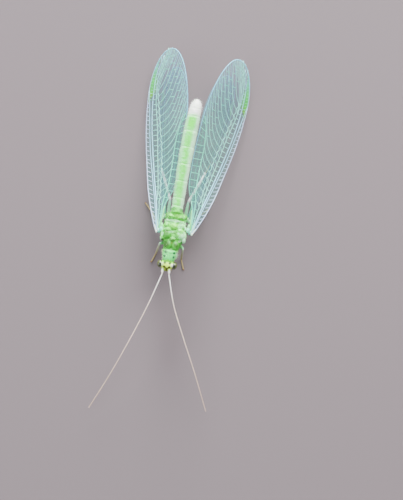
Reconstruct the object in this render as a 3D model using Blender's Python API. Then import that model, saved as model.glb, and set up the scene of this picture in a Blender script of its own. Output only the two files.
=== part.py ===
"""Green lacewing at rest, life size, standing on its six feet with its wings half spread in a shallow roof.

Every size below is in millimetres, and the finished meshes are scaled to metres by the last function.
The body lies along Y with the head at -Y. Y = 0 is the line between the two forewing hinges, X = 0 is the
middle of the thorax and Z = 0 is the floor. Left and right are the animal's own, so its left side is at +X.
The last function moves all of it so that the origin is the middle of the underside of the whole animal.
"""

import math
from typing import NamedTuple

import bmesh
import bpy
import numpy as np
from mathutils import Matrix, Vector

MM = 0.001
SIDES = {"left": 1.0, "right": -1.0}

# Clearance between two parts that touch. The whole body is only 2 mm wide, so it is kept small.
GAP = 0.1

# Legs and feelers. These and the wings are thickened from life so that each stays a sound solid.
LEG_RADIUS = 0.25
FOOT_RADIUS = 0.22
FOOT_HEIGHT = 0.15
ANKLE_RISE = 0.02
FOOT_JOINTS = 5
FOOT_WAIST = 0.88
FEELER_RADIUS = 0.25
FEELER_TIP_RADIUS = 0.1
FEELER_STEPS = 24

# The dome at each end of a rod: how far it reaches and how wide it ends, as shares of the rod's radius
DOME_REACH = 0.6
DOME_END = 0.55

# Wings: depth at the middle and at the rim, and the veins raised on them
WING_DEPTH = 0.56
RIM_DEPTH = 0.34
RIDGE_HEIGHT = 0.1
BRANCH_HEIGHT = 0.06
RIDGE_HALF_WIDTH = 0.09

# Body along Y
PROTHORAX_FRONT_Y = -2.2
PROTHORAX_REAR_Y = -1.18
MESOTHORAX_REAR_Y = 1.05
METATHORAX_REAR_Y = 1.7
ABDOMEN_TIP_Y = 10.2
ABDOMEN_Z = 2.55
SEGMENT_JOINTS = (2.1, 2.72, 4.0, 5.28, 6.55, 7.8, 8.92, 9.5)
GROOVE_DEPTH = 0.035
GROOVE_HALF_WIDTH = 0.08
SEGMENT_SWELL = 0.012
LONG_SEGMENT = 1.0

# Middle x and half width of the abdomen at distances along Y, as far as the start of its blunt tip
ABDOMEN_SECTIONS = [
    *[(1.7, -0.03, 0.42), (3, -0.04, 0.43), (5, -0.05, 0.48)],
    *[(6.5, -0.02, 0.51), (8.2, 0.03, 0.5), (9.3, 0.1, 0.47)],
]
ABDOMEN_TIP_SHIFT = 0.04
ABDOMEN_TIP_SHARE = 0.35

# Head, with its eyes and the sockets of its antennae
HEAD_X = -0.1
HEAD_Y = -2.34
HEAD_Z = 2.4
EYE_OUT = 0.53
EYE_RADII = (0.25, 0.29, 0.33)
SOCKET = (0.27, -0.24, 0.08)


class Wing(NamedTuple):
    """One pair of wings. Each table pairs a distance from the hinge, along the wing, with a value there."""

    length: float
    root: float
    hinge_x: dict
    hinge_y: float
    yaw: dict
    costal_edge: list
    rear_edge: list
    veins: list
    veins_in_bundle: int
    branches: int
    lean: float
    drop: float


# The veins are shares of the chord: Sc, R and Rs in a bundle, then the false middle and cubital veins
FOREWING = Wing(
    length=13.8,
    root=-0.3,
    hinge_x={"left": 1.28, "right": 1.25},
    hinge_y=0.0,
    yaw={"left": math.radians(6.1), "right": math.radians(4.3)},
    costal_edge=[
        *[(-0.3, 0.1), (0, 0.14), (1, 0.42), (2, 0.7), (3, 0.93)],
        *[(5, 1.22), (7, 1.46), (9, 1.57), (10.4, 1.58)],
    ],
    rear_edge=[
        *[(-0.3, -0.26), (1, -0.26), (2, -0.42), (2.6, -0.68)],
        *[(3.3, -1.0), (5, -1.28), (7, -1.44), (9.4, -1.56)],
    ],
    veins=[
        [(0, 0.3), (2, 0.3), (3, 0.22), (5, 0.15), (7, 0.11), (9, 0.08), (13.8, 0.08)],
        [(0, 0.42), (2, 0.42), (3, 0.3), (5, 0.22), (7, 0.18), (9, 0.14), (13.8, 0.17)],
        [(0, 0.54), (2, 0.52), (3, 0.41), (5, 0.355), (7, 0.31), (9, 0.23), (13.8, 0.28)],
        [(0, 0.66), (2, 0.64), (3, 0.53), (5, 0.48), (7, 0.43), (9, 0.38), (13.8, 0.44)],
        [(0, 0.82), (2, 0.84), (3, 0.78), (6, 0.8), (8, 0.83), (13.8, 0.8)],
    ],
    veins_in_bundle=3,
    branches=12,
    lean=1.7,
    drop=0.0,
)

# The hind wings are hinged on the metathorax and lie under the forewings
HINDWING = Wing(
    length=11.3,
    root=-0.35,
    hinge_x={"left": 0.98, "right": 0.98},
    hinge_y=1.42,
    yaw={"left": math.radians(5.9), "right": math.radians(4.1)},
    costal_edge=[(-0.35, 0.14), (0, 0.16), (1, 0.28), (2.5, 0.52), (4.5, 0.8), (6.5, 0.98), (8, 1.02)],
    rear_edge=[
        *[(-0.35, -0.2), (1, -0.12), (1.6, -0.24), (2.4, -0.6)],
        *[(3.2, -0.88), (4.5, -1.05), (6.5, -1.15), (7.8, -1.18)],
    ],
    veins=[
        [(0, 0.3), (3, 0.2), (6, 0.16), (11.3, 0.18)],
        [(0, 0.5), (3, 0.44), (6, 0.4), (11.3, 0.4)],
        [(0, 0.76), (3, 0.74), (6, 0.76), (11.3, 0.74)],
    ],
    veins_in_bundle=1,
    branches=9,
    lean=1.5,
    drop=0.86,
)

# The wings' roof: the height of a forewing's long axis, and how steeply it falls towards its costal edge
ROOF_HEIGHT = [
    *[(-0.3, 2.62), (0, 2.6), (1, 2.52), (2, 2.36), (3, 2.12), (4, 1.87)],
    *[(5, 1.7), (7, 1.6), (9, 1.58), (11, 1.72), (13.8, 1.76)],
]
ROOF_SLOPE = [(-0.3, 0.2), (1, 0.35), (3, 0.55), (5, 0.62), (9, 0.63), (11, 0.76), (13.8, 0.8)]
ROOF_ARCH = 0.16
ARCH_FROM = 1.5
ARCH_FULL = 4.5
ARCH_HALF_WIDTH = 1.6

# Beside the abdomen, nearer the middle than this, the hind wings stay below it
BESIDE_ABDOMEN_X = 1.2
BESIDE_ABDOMEN_FADE = 0.5
BESIDE_ABDOMEN_Y = 2.6
UNDER_ABDOMEN_Z = 1.56

# Where each antenna runs, from the end of its scape to its tip
ANTENNA_RUN = {
    "right": [
        *[(-0.4, -3.1, 2.55), (-0.95, -5.2, 2.3), (-1.95, -8.3, 1.7)],
        *[(-3.15, -11.5, 1.05), (-4.2, -13.95, 0.6)],
    ],
    "left": [
        *[(0.24, -3.1, 2.55), (0.85, -5.1, 2.3), (2.0, -7.6, 1.75)],
        *[(3.2, -9.95, 1.2), (4.55, -12.8, 0.6)],
    ],
}

# Each leg's hip, the bend under the body and the knee, then the ankle and the toe in plan
LEG_RUN = {
    "front_right": [
        *[(-0.36, -1.3, 1.65), (-0.5, -0.72, 1.1), (-0.91, -0.84, 1.85)],
        *[(-1.1, -1.66), (-1.33, -2.28)],
    ],
    "front_left": [
        *[(0.31, -1.3, 1.65), (0.5, -0.72, 1.1), (0.92, -0.96, 1.85)],
        *[(0.86, -1.8), (1.14, -2.48)],
    ],
    "middle_right": [
        *[(-0.4, 0.1, 1.5), (-0.55, 0.3, 0.95), (-1.42, 0.7, 1.75)],
        *[(-1.96, 1.45), (-2.46, 1.95)],
    ],
    "middle_left": [
        *[(0.4, 0.1, 1.5), (0.55, 0.3, 0.95), (1.36, 0.85, 1.75)],
        *[(1.76, 1.72), (2.25, 2.23)],
    ],
    "hind_right": [
        *[(-0.4, 1.3, 1.6), (-0.66, 1.05, 0.95), (-0.68, 2.5, 1.2)],
        *[(-1.72, 4.75), (-2.15, 5.48)],
    ],
    "hind_left": [
        *[(0.4, 1.3, 1.6), (0.66, 1.05, 0.95), (0.7, 2.55, 1.2)],
        *[(1.62, 4.95), (1.9, 5.68)],
    ],
}

GREEN = (0.36, 0.66, 0.27, 1.0)
PALE_GREEN = (0.56, 0.80, 0.42, 1.0)
YELLOW = (0.74, 0.78, 0.36, 1.0)
EYE_BRONZE = (0.28, 0.32, 0.14, 1.0)
CREAM = (0.72, 0.62, 0.52, 1.0)
TAN = (0.52, 0.46, 0.27, 1.0)
WING_TINT = (0.62, 0.82, 0.76, 1.0)


def clear_scene():
    for obj in list(bpy.data.objects):
        bpy.data.objects.remove(obj, do_unlink=True)


def make_material(name, colour, roughness):
    material = bpy.data.materials.new(name)
    material.use_nodes = True
    shader = material.node_tree.nodes["Principled BSDF"]
    shader.inputs["Base Color"].default_value = colour
    shader.inputs["Roughness"].default_value = roughness
    shader.inputs["Metallic"].default_value = 0.0
    return material


def curve_through(table, at):
    """A smooth curve through (position, value) rows, read at one position or an array of them."""
    table = np.array(table, float)
    xs = table[:, 0]
    ys = table[:, 1:]
    slopes = np.gradient(ys, xs, axis=0)
    at = np.clip(np.atleast_1d(np.asarray(at, float)), xs[0], xs[-1])
    span = np.clip(np.searchsorted(xs, at, side="right") - 1, 0, len(xs) - 2)
    width = (xs[span + 1] - xs[span])[:, None]
    t = (at - xs[span])[:, None] / width
    value = (
        (2 * t**3 - 3 * t**2 + 1) * ys[span]
        + (t**3 - 2 * t**2 + t) * width * slopes[span]
        + (3 * t**2 - 2 * t**3) * ys[span + 1]
        + (t**3 - t**2) * width * slopes[span + 1]
    )
    return value[:, 0] if ys.shape[1] == 1 else value


def mesh_object(name, points, faces):
    mesh = bpy.data.meshes.new(name)
    mesh.from_pydata([tuple(map(float, p)) for p in points], [], faces)
    bm = bmesh.new()
    bm.from_mesh(mesh)
    bmesh.ops.recalc_face_normals(bm, faces=bm.faces)
    bm.to_mesh(mesh)
    bm.free()
    obj = bpy.data.objects.new(name, mesh)
    bpy.context.scene.collection.objects.link(obj)
    return obj


def loft(name, rings):
    """A closed body through rings of equal count, with a flat cap at each end."""
    count = len(rings[0])
    points = [p for ring in rings for p in ring]
    faces = []
    for r in range(len(rings) - 1):
        for i in range(count):
            j = (i + 1) % count
            faces.append((r * count + i, r * count + j, (r + 1) * count + j, (r + 1) * count + i))
    faces.append(tuple(range(count)))
    faces.append(tuple(range((len(rings) - 1) * count, len(rings) * count)))
    return mesh_object(name, points, faces)


def body_ring(y, middle_x, half_width, low, high, squareness, sides):
    """One cross-section of the trunk: an ellipse at squareness 2, and boxier above it."""
    ring = []
    for k in range(sides):
        angle = 2 * math.pi * (k + 0.5) / sides
        c, s = math.cos(angle), math.sin(angle)
        x = math.copysign(abs(c) ** (2 / squareness), c) * half_width
        z = math.copysign(abs(s) ** (2 / squareness), s) * (high - low) / 2
        ring.append((middle_x + x, y, (high + low) / 2 + z))
    return ring


def trunk(name, stations, squareness=2.5, sides=16, rings_per_mm=6):
    """A length of trunk through stations of (y, middle x, half width, low z, high z)."""
    first, last = stations[0][0], stations[-1][0]
    ys = np.linspace(first, last, max(4, int((last - first) * rings_per_mm)))
    rows = curve_through(stations, ys)
    return loft(name, [body_ring(y, *row, squareness, sides) for y, row in zip(ys, rows)])


def ellipsoid(name, middle, radii, segments=12, rings=8):
    bm = bmesh.new()
    bmesh.ops.create_uvsphere(bm, u_segments=segments, v_segments=rings, radius=1.0)
    bmesh.ops.transform(bm, matrix=Matrix.LocRotScale(Vector(middle), None, Vector(radii)), verts=bm.verts)
    mesh = bpy.data.meshes.new(name)
    bm.to_mesh(mesh)
    bm.free()
    obj = bpy.data.objects.new(name, mesh)
    bpy.context.scene.collection.objects.link(obj)
    return obj


def smooth_path(corners, count):
    """Points at even steps along a smooth curve through the corners."""
    corners = np.array(corners, float)
    along = np.concatenate([[0], np.cumsum(np.linalg.norm(np.diff(corners, axis=0), axis=1))])
    return curve_through(np.column_stack([along, corners]), np.linspace(0, along[-1], count))


def tube(name, path, radii, sides=8):
    """A round rod along a path with a short dome at each end. What would pass the floor lies flat on it."""
    path = [Vector(p) for p in path]
    last = len(path) - 1
    tangents = [(path[min(i + 1, last)] - path[max(i - 1, 0)]).normalized() for i in range(last + 1)]
    first_end = path[0] - tangents[0] * radii[0] * DOME_REACH
    last_end = path[-1] + tangents[-1] * radii[-1] * DOME_REACH
    path = [first_end, *path, last_end]
    tangents = [tangents[0], *tangents, tangents[-1]]
    radii = [radii[0] * DOME_END, *radii, radii[-1] * DOME_END]
    rings = []
    for point, tangent, radius in zip(path, tangents, radii):
        across = tangent.cross(Vector((0, 0, 1))).normalized()
        up = across.cross(tangent)
        ring = []
        for k in range(sides):
            angle = 2 * math.pi * (k + 0.5) / sides
            p = point + across * math.cos(angle) * radius + up * math.sin(angle) * radius
            p.z = max(p.z, 0.0)
            ring.append(p)
        rings.append(ring)
    return loft(name, rings)


def apply_boolean(obj, others, operation):
    """One Boolean of obj with a collection of closed meshes, applied. The others are removed."""
    group = bpy.data.collections.new("boolean")
    bpy.context.scene.collection.children.link(group)
    for other in others:
        bpy.context.scene.collection.objects.unlink(other)
        group.objects.link(other)
    modifier = obj.modifiers.new("boolean", "BOOLEAN")
    modifier.operation = operation
    modifier.operand_type = "COLLECTION"
    modifier.collection = group
    modifier.solver = "EXACT"
    graph = bpy.context.evaluated_depsgraph_get()
    mesh = bpy.data.meshes.new_from_object(obj.evaluated_get(graph), depsgraph=graph)
    obj.modifiers.clear()
    obj.data = mesh
    for other in others:
        bpy.data.objects.remove(other, do_unlink=True)
    bpy.data.collections.remove(group)
    keep_largest(obj)


def surface_of(face):
    """All the faces joined to this one through shared edges."""
    found = {face}
    stack = [face]
    while stack:
        for edge in stack.pop().edges:
            fresh = [near for near in edge.link_faces if near not in found]
            found.update(fresh)
            stack.extend(fresh)
    return found


def keep_largest(obj):
    """Keeps the largest closed surface, and drops loose scraps and sealed hollows."""
    bm = bmesh.new()
    bm.from_mesh(obj.data)
    bmesh.ops.remove_doubles(bm, verts=bm.verts, dist=0.0005)
    unseen = set(bm.faces)
    surfaces = []
    while unseen:
        surface = surface_of(next(iter(unseen)))
        unseen -= surface
        surfaces.append(surface)
    largest = max(surfaces, key=lambda surface: sum(face.calc_area() for face in surface))
    scraps = [face for surface in surfaces if surface is not largest for face in surface]
    bmesh.ops.delete(bm, geom=scraps, context="FACES")
    bm.to_mesh(obj.data)
    bm.free()


def grown_copy(obj, distance):
    """A copy of a closed mesh with its surface moved outwards."""
    mesh = obj.data.copy()
    copy = bpy.data.objects.new("grown", mesh)
    bpy.context.scene.collection.objects.link(copy)
    normals = [vertex.normal.copy() for vertex in mesh.vertices]
    for vertex, normal in zip(mesh.vertices, normals):
        vertex.co += normal * distance
    return copy


def carve(obj, neighbours):
    """Cuts obj back so that it meets each neighbour's surface with the standard gap."""
    apply_boolean(obj, [grown_copy(neighbour, GAP) for neighbour in neighbours], "DIFFERENCE")


def finish_node(obj, name, material):
    obj.name = name
    obj.data.name = name
    obj.data.materials.clear()
    obj.data.materials.append(material)
    obj.data.shade_smooth()
    obj.data.set_sharp_from_angle(angle=math.radians(40))


def fuse(name, pieces, material):
    """Joins overlapping closed pieces into one node. Returns hidden copies of them to carve others with."""
    kept = [grown_copy(piece, 0.0) for piece in pieces]
    for piece in kept:
        piece.hide_render = True
        piece.display_type = "WIRE"
    if len(pieces) > 1:
        apply_boolean(pieces[0], pieces[1:], "UNION")
    finish_node(pieces[0], name, material)
    return kept


def make_head(yellow):
    """The head capsule, the face, the upper lip and jaws below, and two palps."""
    pieces = [
        ellipsoid("cranium", (HEAD_X, HEAD_Y, HEAD_Z), (0.5, 0.34, 0.42), 16, 10),
        ellipsoid("face", (HEAD_X, HEAD_Y - 0.2, HEAD_Z - 0.34), (0.36, 0.3, 0.46)),
        ellipsoid("upper_lip", (HEAD_X, HEAD_Y - 0.22, HEAD_Z - 0.82), (0.22, 0.18, 0.22), 10, 7),
    ]
    out, forward, up = SOCKET
    for side in SIDES.values():
        middle = (HEAD_X + side * out, HEAD_Y + forward, HEAD_Z + up)
        pieces.append(ellipsoid("socket", middle, (0.2, 0.16, 0.2), 10, 7))
        palp = [
            (HEAD_X + side * 0.16, HEAD_Y - 0.02, HEAD_Z - 0.7),
            (HEAD_X + side * 0.36, HEAD_Y - 0.1, HEAD_Z - 1.05),
            (HEAD_X + side * 0.34, HEAD_Y - 0.42, HEAD_Z - 1.3),
        ]
        pieces.append(tube("palp", smooth_path(palp, 5), [0.15, 0.15, 0.14, 0.13, 0.1], 6))
    return fuse("head", pieces, yellow)


def make_prothorax(green, head_pieces):
    """The narrow first ring of the thorax, wider to the rear, with the neck that reaches the head."""
    stations = [
        (PROTHORAX_FRONT_Y, -0.09, 0.32, 2.0, 2.64),
        (-2.0, -0.07, 0.42, 1.92, 2.78),
        (-1.6, -0.06, 0.53, 1.8, 2.86),
        (PROTHORAX_REAR_Y - GAP / 2, -0.04, 0.6, 1.7, 2.86),
    ]
    prothorax = trunk("prothorax", stations)
    carve(prothorax, head_pieces)
    return fuse("prothorax", [prothorax], green)


def make_mesothorax(green):
    """The large middle ring, with the lobes on its back, the scutellum, shoulders and wing sockets."""
    stations = [
        (PROTHORAX_REAR_Y + GAP / 2, -0.03, 0.6, 1.6, 2.84),
        (-0.8, 0.0, 0.68, 1.4, 2.92),
        (-0.4, 0.0, 0.86, 1.2, 2.98),
        (0.1, 0.0, 0.96, 1.1, 3.0),
        (0.6, 0.0, 0.88, 1.12, 2.98),
        (MESOTHORAX_REAR_Y - GAP / 2, 0.0, 0.74, 1.2, 2.9),
    ]
    pieces = [
        trunk("mesothorax", stations),
        ellipsoid("wedge", (0.0, -0.36, 2.9), (0.26, 0.34, 0.18), 10, 7),
        ellipsoid("scutellum", (0.0, 0.62, 2.9), (0.36, 0.3, 0.22)),
    ]
    for side in SIDES.values():
        pieces.append(ellipsoid("front_lobe", (side * 0.28, -0.86, 2.78), (0.27, 0.27, 0.22), 10, 7))
        pieces.append(ellipsoid("lobe", (side * 0.5, -0.02, 2.84), (0.38, 0.46, 0.32)))
        pieces.append(ellipsoid("shoulder", (side * 0.86, -0.3, 2.7), (0.17, 0.32, 0.16), 10, 7))
        pieces.append(ellipsoid("wing_socket", (side * 0.98, 0.0, 2.55), (0.2, 0.36, 0.26), 10, 7))
    return fuse("mesothorax", pieces, green)


def make_metathorax(green):
    """The third ring, lower and narrower, which carries the hind wings."""
    stations = [
        (MESOTHORAX_REAR_Y + GAP / 2, 0.0, 0.73, 1.2, 2.88),
        (1.4, 0.0, 0.66, 1.35, 2.9),
        (METATHORAX_REAR_Y - GAP / 2, -0.02, 0.44, 1.95, 2.9),
    ]
    pieces = [
        trunk("metathorax", stations),
        ellipsoid("scutellum", (0.0, 1.45, 2.85), (0.26, 0.18, 0.16), 10, 7),
    ]
    for side in SIDES.values():
        pieces.append(ellipsoid("lobe", (side * 0.34, 1.3, 2.74), (0.28, 0.2, 0.26), 10, 7))
        pieces.append(ellipsoid("wing_socket", (side * 0.68, 1.38, 2.08), (0.2, 0.26, 0.24), 10, 7))
    return fuse("metathorax", pieces, green)


def abdomen_section(y):
    """Middle x and half width of the abdomen, which swells a little to the rear and ends in a blunt tip."""
    tip_starts = ABDOMEN_SECTIONS[-1][0]
    middle_x, half_width = curve_through(ABDOMEN_SECTIONS, y)[0]
    past = max(0.0, y - tip_starts) / (ABDOMEN_TIP_Y - tip_starts)
    return middle_x + ABDOMEN_TIP_SHIFT * past, half_width * max(math.sqrt(1 - past**2), ABDOMEN_TIP_SHARE)


def make_abdomen(pale):
    """The long, slim abdomen, with a groove at each joint between two segments."""
    stops = [(METATHORAX_REAR_Y + GAP / 2, 0.0)]
    for joint, following in zip(SEGMENT_JOINTS, [*SEGMENT_JOINTS[1:], None]):
        stops += [(joint - GROOVE_HALF_WIDTH, 0.0), (joint, GROOVE_DEPTH), (joint + GROOVE_HALF_WIDTH, 0.0)]
        if following and following - joint > LONG_SEGMENT:
            stops.append(((joint + following) / 2, -SEGMENT_SWELL))
    stops += [(9.8, 0.0), (10.05, 0.0), (ABDOMEN_TIP_Y, 0.0)]
    rings = []
    for y, groove in stops:
        middle_x, half_width = abdomen_section(y)
        radius = half_width - groove
        rings.append(body_ring(y, middle_x, radius, ABDOMEN_Z - radius * 1.04, ABDOMEN_Z + radius, 2.15, 16))
    return fuse("abdomen", [loft("abdomen", rings)], pale)


def wing_edges(wing, u):
    """Costal and rear edge beside the long axis. Past its last row each closes in a quarter ellipse."""
    edges = []
    for table in (wing.costal_edge, wing.rear_edge):
        start = table[-1][0]
        share = np.clip((u - start) / (wing.length - start), 0.0, 1.0)
        edges.append(curve_through(table, u) * np.sqrt(1 - share**2))
    return edges


def wing_height(wing, out, y, side):
    """Height of a wing's middle surface over a point in plan, out from the middle and along the body."""
    yaw = FOREWING.yaw[side]
    from_hinge = out - FOREWING.hinge_x[side]
    u = from_hinge * math.sin(yaw) + y * math.cos(yaw)
    v = from_hinge * math.cos(yaw) - y * math.sin(yaw)
    risen = np.clip((u - ARCH_FROM) / (ARCH_FULL - ARCH_FROM), 0, 1)
    arch = ROOF_ARCH * risen * (1 - np.clip(v / ARCH_HALF_WIDTH, -1, 1) ** 2)
    z = curve_through(ROOF_HEIGHT, u) - v * curve_through(ROOF_SLOPE, u) + arch - wing.drop
    if wing.drop:
        inside = np.clip((BESIDE_ABDOMEN_X - out) / BESIDE_ABDOMEN_FADE, 0, 1)
        behind = np.clip(y - BESIDE_ABDOMEN_Y, 0, 1)
        z = z - np.maximum(z - UNDER_ABDOMEN_Z, 0) * inside * behind
    return z


def wing_rows(wing):
    """Distances along the wing at which the grid has a row, and the ridge height there."""
    rows = [(wing.root, 0.0), (0.15, 0.0), (0.7, 0.0)]
    for u in np.linspace(1.3, wing.length * 0.93, wing.branches):
        rows += [(u - RIDGE_HALF_WIDTH, 0.0), (u, BRANCH_HEIGHT), (u + RIDGE_HALF_WIDTH, 0.0)]
    rows += [(wing.length * share, 0.0) for share in (0.96, 0.983, 0.997)]
    return rows


def wing_columns(wing, u, chord):
    """Shares of the chord at which the grid has a column, and the ridge height there.

    Veins in the bundle share the valley between them, and the others have a foot on each side.
    """
    crests = [float(curve_through(table, u)[0]) for table in wing.veins]
    tightest = min(b - a for a, b in zip([0.0, *crests], [*crests, 1.0]))
    foot = min(RIDGE_HALF_WIDTH / chord, tightest * 0.35)
    columns = [(0.0, RIDGE_HEIGHT)]
    for number, crest in enumerate(crests):
        before = columns[-1][0]
        if number < wing.veins_in_bundle:
            columns.append(((before + crest) / 2, 0.0))
        else:
            columns += [(before + foot, 0.0), (crest - foot, 0.0)]
        columns.append((crest, RIDGE_HEIGHT))
    return [*columns, (crests[-1] + foot, 0.0), (1.0, 0.0)]


def make_wing(name, wing, side, tint, body):
    """A closed plate with raised veins. Both faces follow one grid and are split into the same triangles."""
    rows = wing_rows(wing)
    yaw = wing.yaw[side]
    top, bottom = [], []
    for row, (row_u, row_ridge) in enumerate(rows):
        costal, rear = wing_edges(wing, np.array([row_u]))
        columns = wing_columns(wing, row_u, float(costal[0] - rear[0]))
        middle_vein = columns[len(columns) // 2][0]
        window = np.clip((row_u - 1.5) / 5, 0, 1) * np.clip((wing.length - row_u) / 3.5, 0, 1)
        for column, (share, ridge) in enumerate(columns):
            u = row_u + wing.lean * max(0.0, share - middle_vein) * window
            costal, rear = (float(edge[0]) for edge in wing_edges(wing, np.array([u])))
            v = costal * (1 - share) + rear * share
            out = wing.hinge_x[side] + u * math.sin(yaw) + v * math.cos(yaw)
            y = wing.hinge_y + u * math.cos(yaw) - v * math.sin(yaw)
            z = float(wing_height(wing, np.array([out]), np.array([y]), side)[0])
            on_rim = column in (0, len(columns) - 1) or row == len(rows) - 1
            half = (RIM_DEPTH if on_rim else WING_DEPTH) / 2
            top.append((SIDES[side] * out, y, z + half + max(ridge, row_ridge)))
            bottom.append((SIDES[side] * out, y, z - half))
    plate = mesh_object(name, top + bottom, plate_faces(len(rows), len(columns)))
    carve(plate, body)
    finish_node(plate, f"{name}_{side}", tint)


def plate_faces(rows, columns):
    """Triangles of a closed plate: the top grid, the same grid below it, and the wall round its rim."""
    below = rows * columns
    faces = []
    for r in range(rows - 1):
        for c in range(columns - 1):
            a = r * columns + c
            b, d, e = a + 1, a + columns, a + columns + 1
            for corner in ((a, b, e), (a, e, d)):
                faces.append(corner)
                faces.append(tuple(below + i for i in reversed(corner)))
    rim = [r * columns for r in range(rows)]
    rim += [(rows - 1) * columns + c for c in range(1, columns)]
    rim += [r * columns + columns - 1 for r in range(rows - 2, -1, -1)]
    rim += list(range(columns - 2, 0, -1))
    for a, b in zip(rim, [*rim[1:], rim[0]]):
        faces.append((a, b, below + b))
        faces.append((a, below + b, below + a))
    return faces


def make_eye(side, bronze, head_pieces):
    eye = ellipsoid("eye", (HEAD_X + SIDES[side] * EYE_OUT, HEAD_Y, HEAD_Z), EYE_RADII, 14, 10)
    carve(eye, head_pieces)
    finish_node(eye, f"eye_{side}", bronze)


def make_antenna(side, cream, head_pieces):
    """The thick scape set in its socket, and the long, even, thread-like flagellum."""
    out, forward, up = SOCKET
    run = [Vector(p) for p in ANTENNA_RUN[side]]
    root = Vector((HEAD_X + SIDES[side] * out, HEAD_Y + forward, HEAD_Z + up))
    along = (run[0] - root).normalized()
    scape = tube("scape", [root, root.lerp(run[0], 0.5), run[0] - along * 0.16], [0.22, 0.25, 0.21], 10)
    carve(scape, head_pieces)
    thinning = list(np.linspace(FEELER_RADIUS, FEELER_TIP_RADIUS, FEELER_STEPS))
    flagellum = tube("flagellum", smooth_path(run, FEELER_STEPS), thinning, 6)
    carve(flagellum, [scape])
    finish_node(scape, f"antenna_{side}_scape", cream)
    finish_node(flagellum, f"antenna_{side}_flagellum", cream)


def make_leg(name, run, green, tan, body):
    """Hip and thigh in one node, then the shin, and the foot of five joints that lies flat on the floor."""
    hip, bend, knee = (Vector(p) for p in run[:3])
    ankle = Vector((*run[3], FOOT_HEIGHT + ANKLE_RISE))
    toe = Vector((*run[4], FOOT_HEIGHT))
    r = LEG_RADIUS
    thigh_path = [hip, hip.lerp(bend, 0.6), bend, bend.lerp(knee, 0.3), bend.lerp(knee, 0.7), knee]
    thigh = tube("thigh", thigh_path, [r * 1.2, r * 1.15, r, r * 1.06, r, r * 0.9])
    shin = tube("shin", [knee, knee.lerp(ankle, 0.5), ankle], [r * 0.9, r, r * 0.95])
    steps = range(2 * FOOT_JOINTS)
    foot_path = [ankle.lerp(toe, step / (len(steps) - 1)) for step in steps]
    foot = tube("foot", foot_path, [FOOT_RADIUS * (1.0 if step % 2 else FOOT_WAIST) for step in steps])
    carve(thigh, body)
    carve(shin, [thigh, *body])
    carve(foot, [shin])
    finish_node(thigh, f"leg_{name}_femur", green)
    finish_node(shin, f"leg_{name}_tibia", green)
    finish_node(foot, f"leg_{name}_tarsus", tan)


def to_metres_on_origin():
    """Scales every node to metres, with the origin at the middle of the underside of the whole animal."""
    corners = np.array([vertex.co[:] for obj in bpy.data.objects for vertex in obj.data.vertices])
    low, high = corners.min(axis=0), corners.max(axis=0)
    shift = Vector((-(low[0] + high[0]) / 2, -(low[1] + high[1]) / 2, -low[2]))
    print("shift to the origin, mm:", tuple(round(v, 4) for v in shift))
    for obj in bpy.data.objects:
        obj.data.transform(Matrix.Scale(MM, 4) @ Matrix.Translation(shift))


def main():
    clear_scene()
    green = make_material("green_cuticle", GREEN, 0.42)
    pale = make_material("pale_green_cuticle", PALE_GREEN, 0.4)
    yellow = make_material("yellow_cuticle", YELLOW, 0.4)
    bronze = make_material("eye_bronze", EYE_BRONZE, 0.18)
    cream = make_material("antenna_cream", CREAM, 0.5)
    tan = make_material("foot_tan", TAN, 0.5)
    tint = make_material("wing_membrane", WING_TINT, 0.2)
    head = make_head(yellow)
    body = make_prothorax(green, head) + make_mesothorax(green) + make_metathorax(green) + make_abdomen(pale)
    for side in SIDES:
        make_eye(side, bronze, head)
        make_antenna(side, cream, head)
        make_wing("forewing", FOREWING, side, tint, body)
        make_wing("hindwing", HINDWING, side, tint, body)
    for name, run in LEG_RUN.items():
        make_leg(name, run, pale, tan, body)
    for piece in head + body:
        bpy.data.objects.remove(piece, do_unlink=True)
    to_metres_on_origin()


main()
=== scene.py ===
"""Green lacewing at rest: the skin, eyes, feelers, legs and wings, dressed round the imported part.

Points are written in millimetres in the animal's own frame: the head at -Y, its left side at +X, the floor
at Z = 0, and Y = 0 on the line between the two forewing hinges. to_row() turns them into the row's metres.
"""

import math
from typing import NamedTuple

import bmesh
import bpy
import numpy as np
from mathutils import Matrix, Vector


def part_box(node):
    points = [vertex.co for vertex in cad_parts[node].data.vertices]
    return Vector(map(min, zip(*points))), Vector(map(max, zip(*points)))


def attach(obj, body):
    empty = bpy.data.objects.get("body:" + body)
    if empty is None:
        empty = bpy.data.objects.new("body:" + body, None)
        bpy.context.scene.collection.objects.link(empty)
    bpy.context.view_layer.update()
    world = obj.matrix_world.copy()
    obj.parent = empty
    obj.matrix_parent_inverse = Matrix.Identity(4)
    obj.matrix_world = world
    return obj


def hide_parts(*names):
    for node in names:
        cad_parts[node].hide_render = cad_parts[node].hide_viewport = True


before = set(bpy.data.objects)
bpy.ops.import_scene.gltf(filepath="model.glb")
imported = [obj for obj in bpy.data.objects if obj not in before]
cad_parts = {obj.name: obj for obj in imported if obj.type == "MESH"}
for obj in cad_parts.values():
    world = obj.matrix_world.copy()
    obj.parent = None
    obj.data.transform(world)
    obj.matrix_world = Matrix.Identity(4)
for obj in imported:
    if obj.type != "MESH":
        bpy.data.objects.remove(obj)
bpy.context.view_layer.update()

MM = 0.001
SIDES = {"left": 1.0, "right": -1.0}
ABDOMEN_TIP_Y = 10.2

# Where the animal's own frame lies in the row's frame, in millimetres
THORAX_LOW, THORAX_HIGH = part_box("mesothorax")
ORIGIN = np.array([(THORAX_LOW.x + THORAX_HIGH.x) / 2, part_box("abdomen")[1].y, 0.0]) / MM
ORIGIN[1] -= ABDOMEN_TIP_Y

rng = np.random.default_rng(7)

# Camera and lights. The photograph looks straight down on the animal and shows 37.5 mm of height.
VIEW_MIDDLE = (2.26, -0.84, 1.6)
VIEW_HEIGHT = 200.0
VIEW_LONG_SIDE = 37.5
VIEW_TURN = math.radians(9.35)
SENSOR = 36.0

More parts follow.
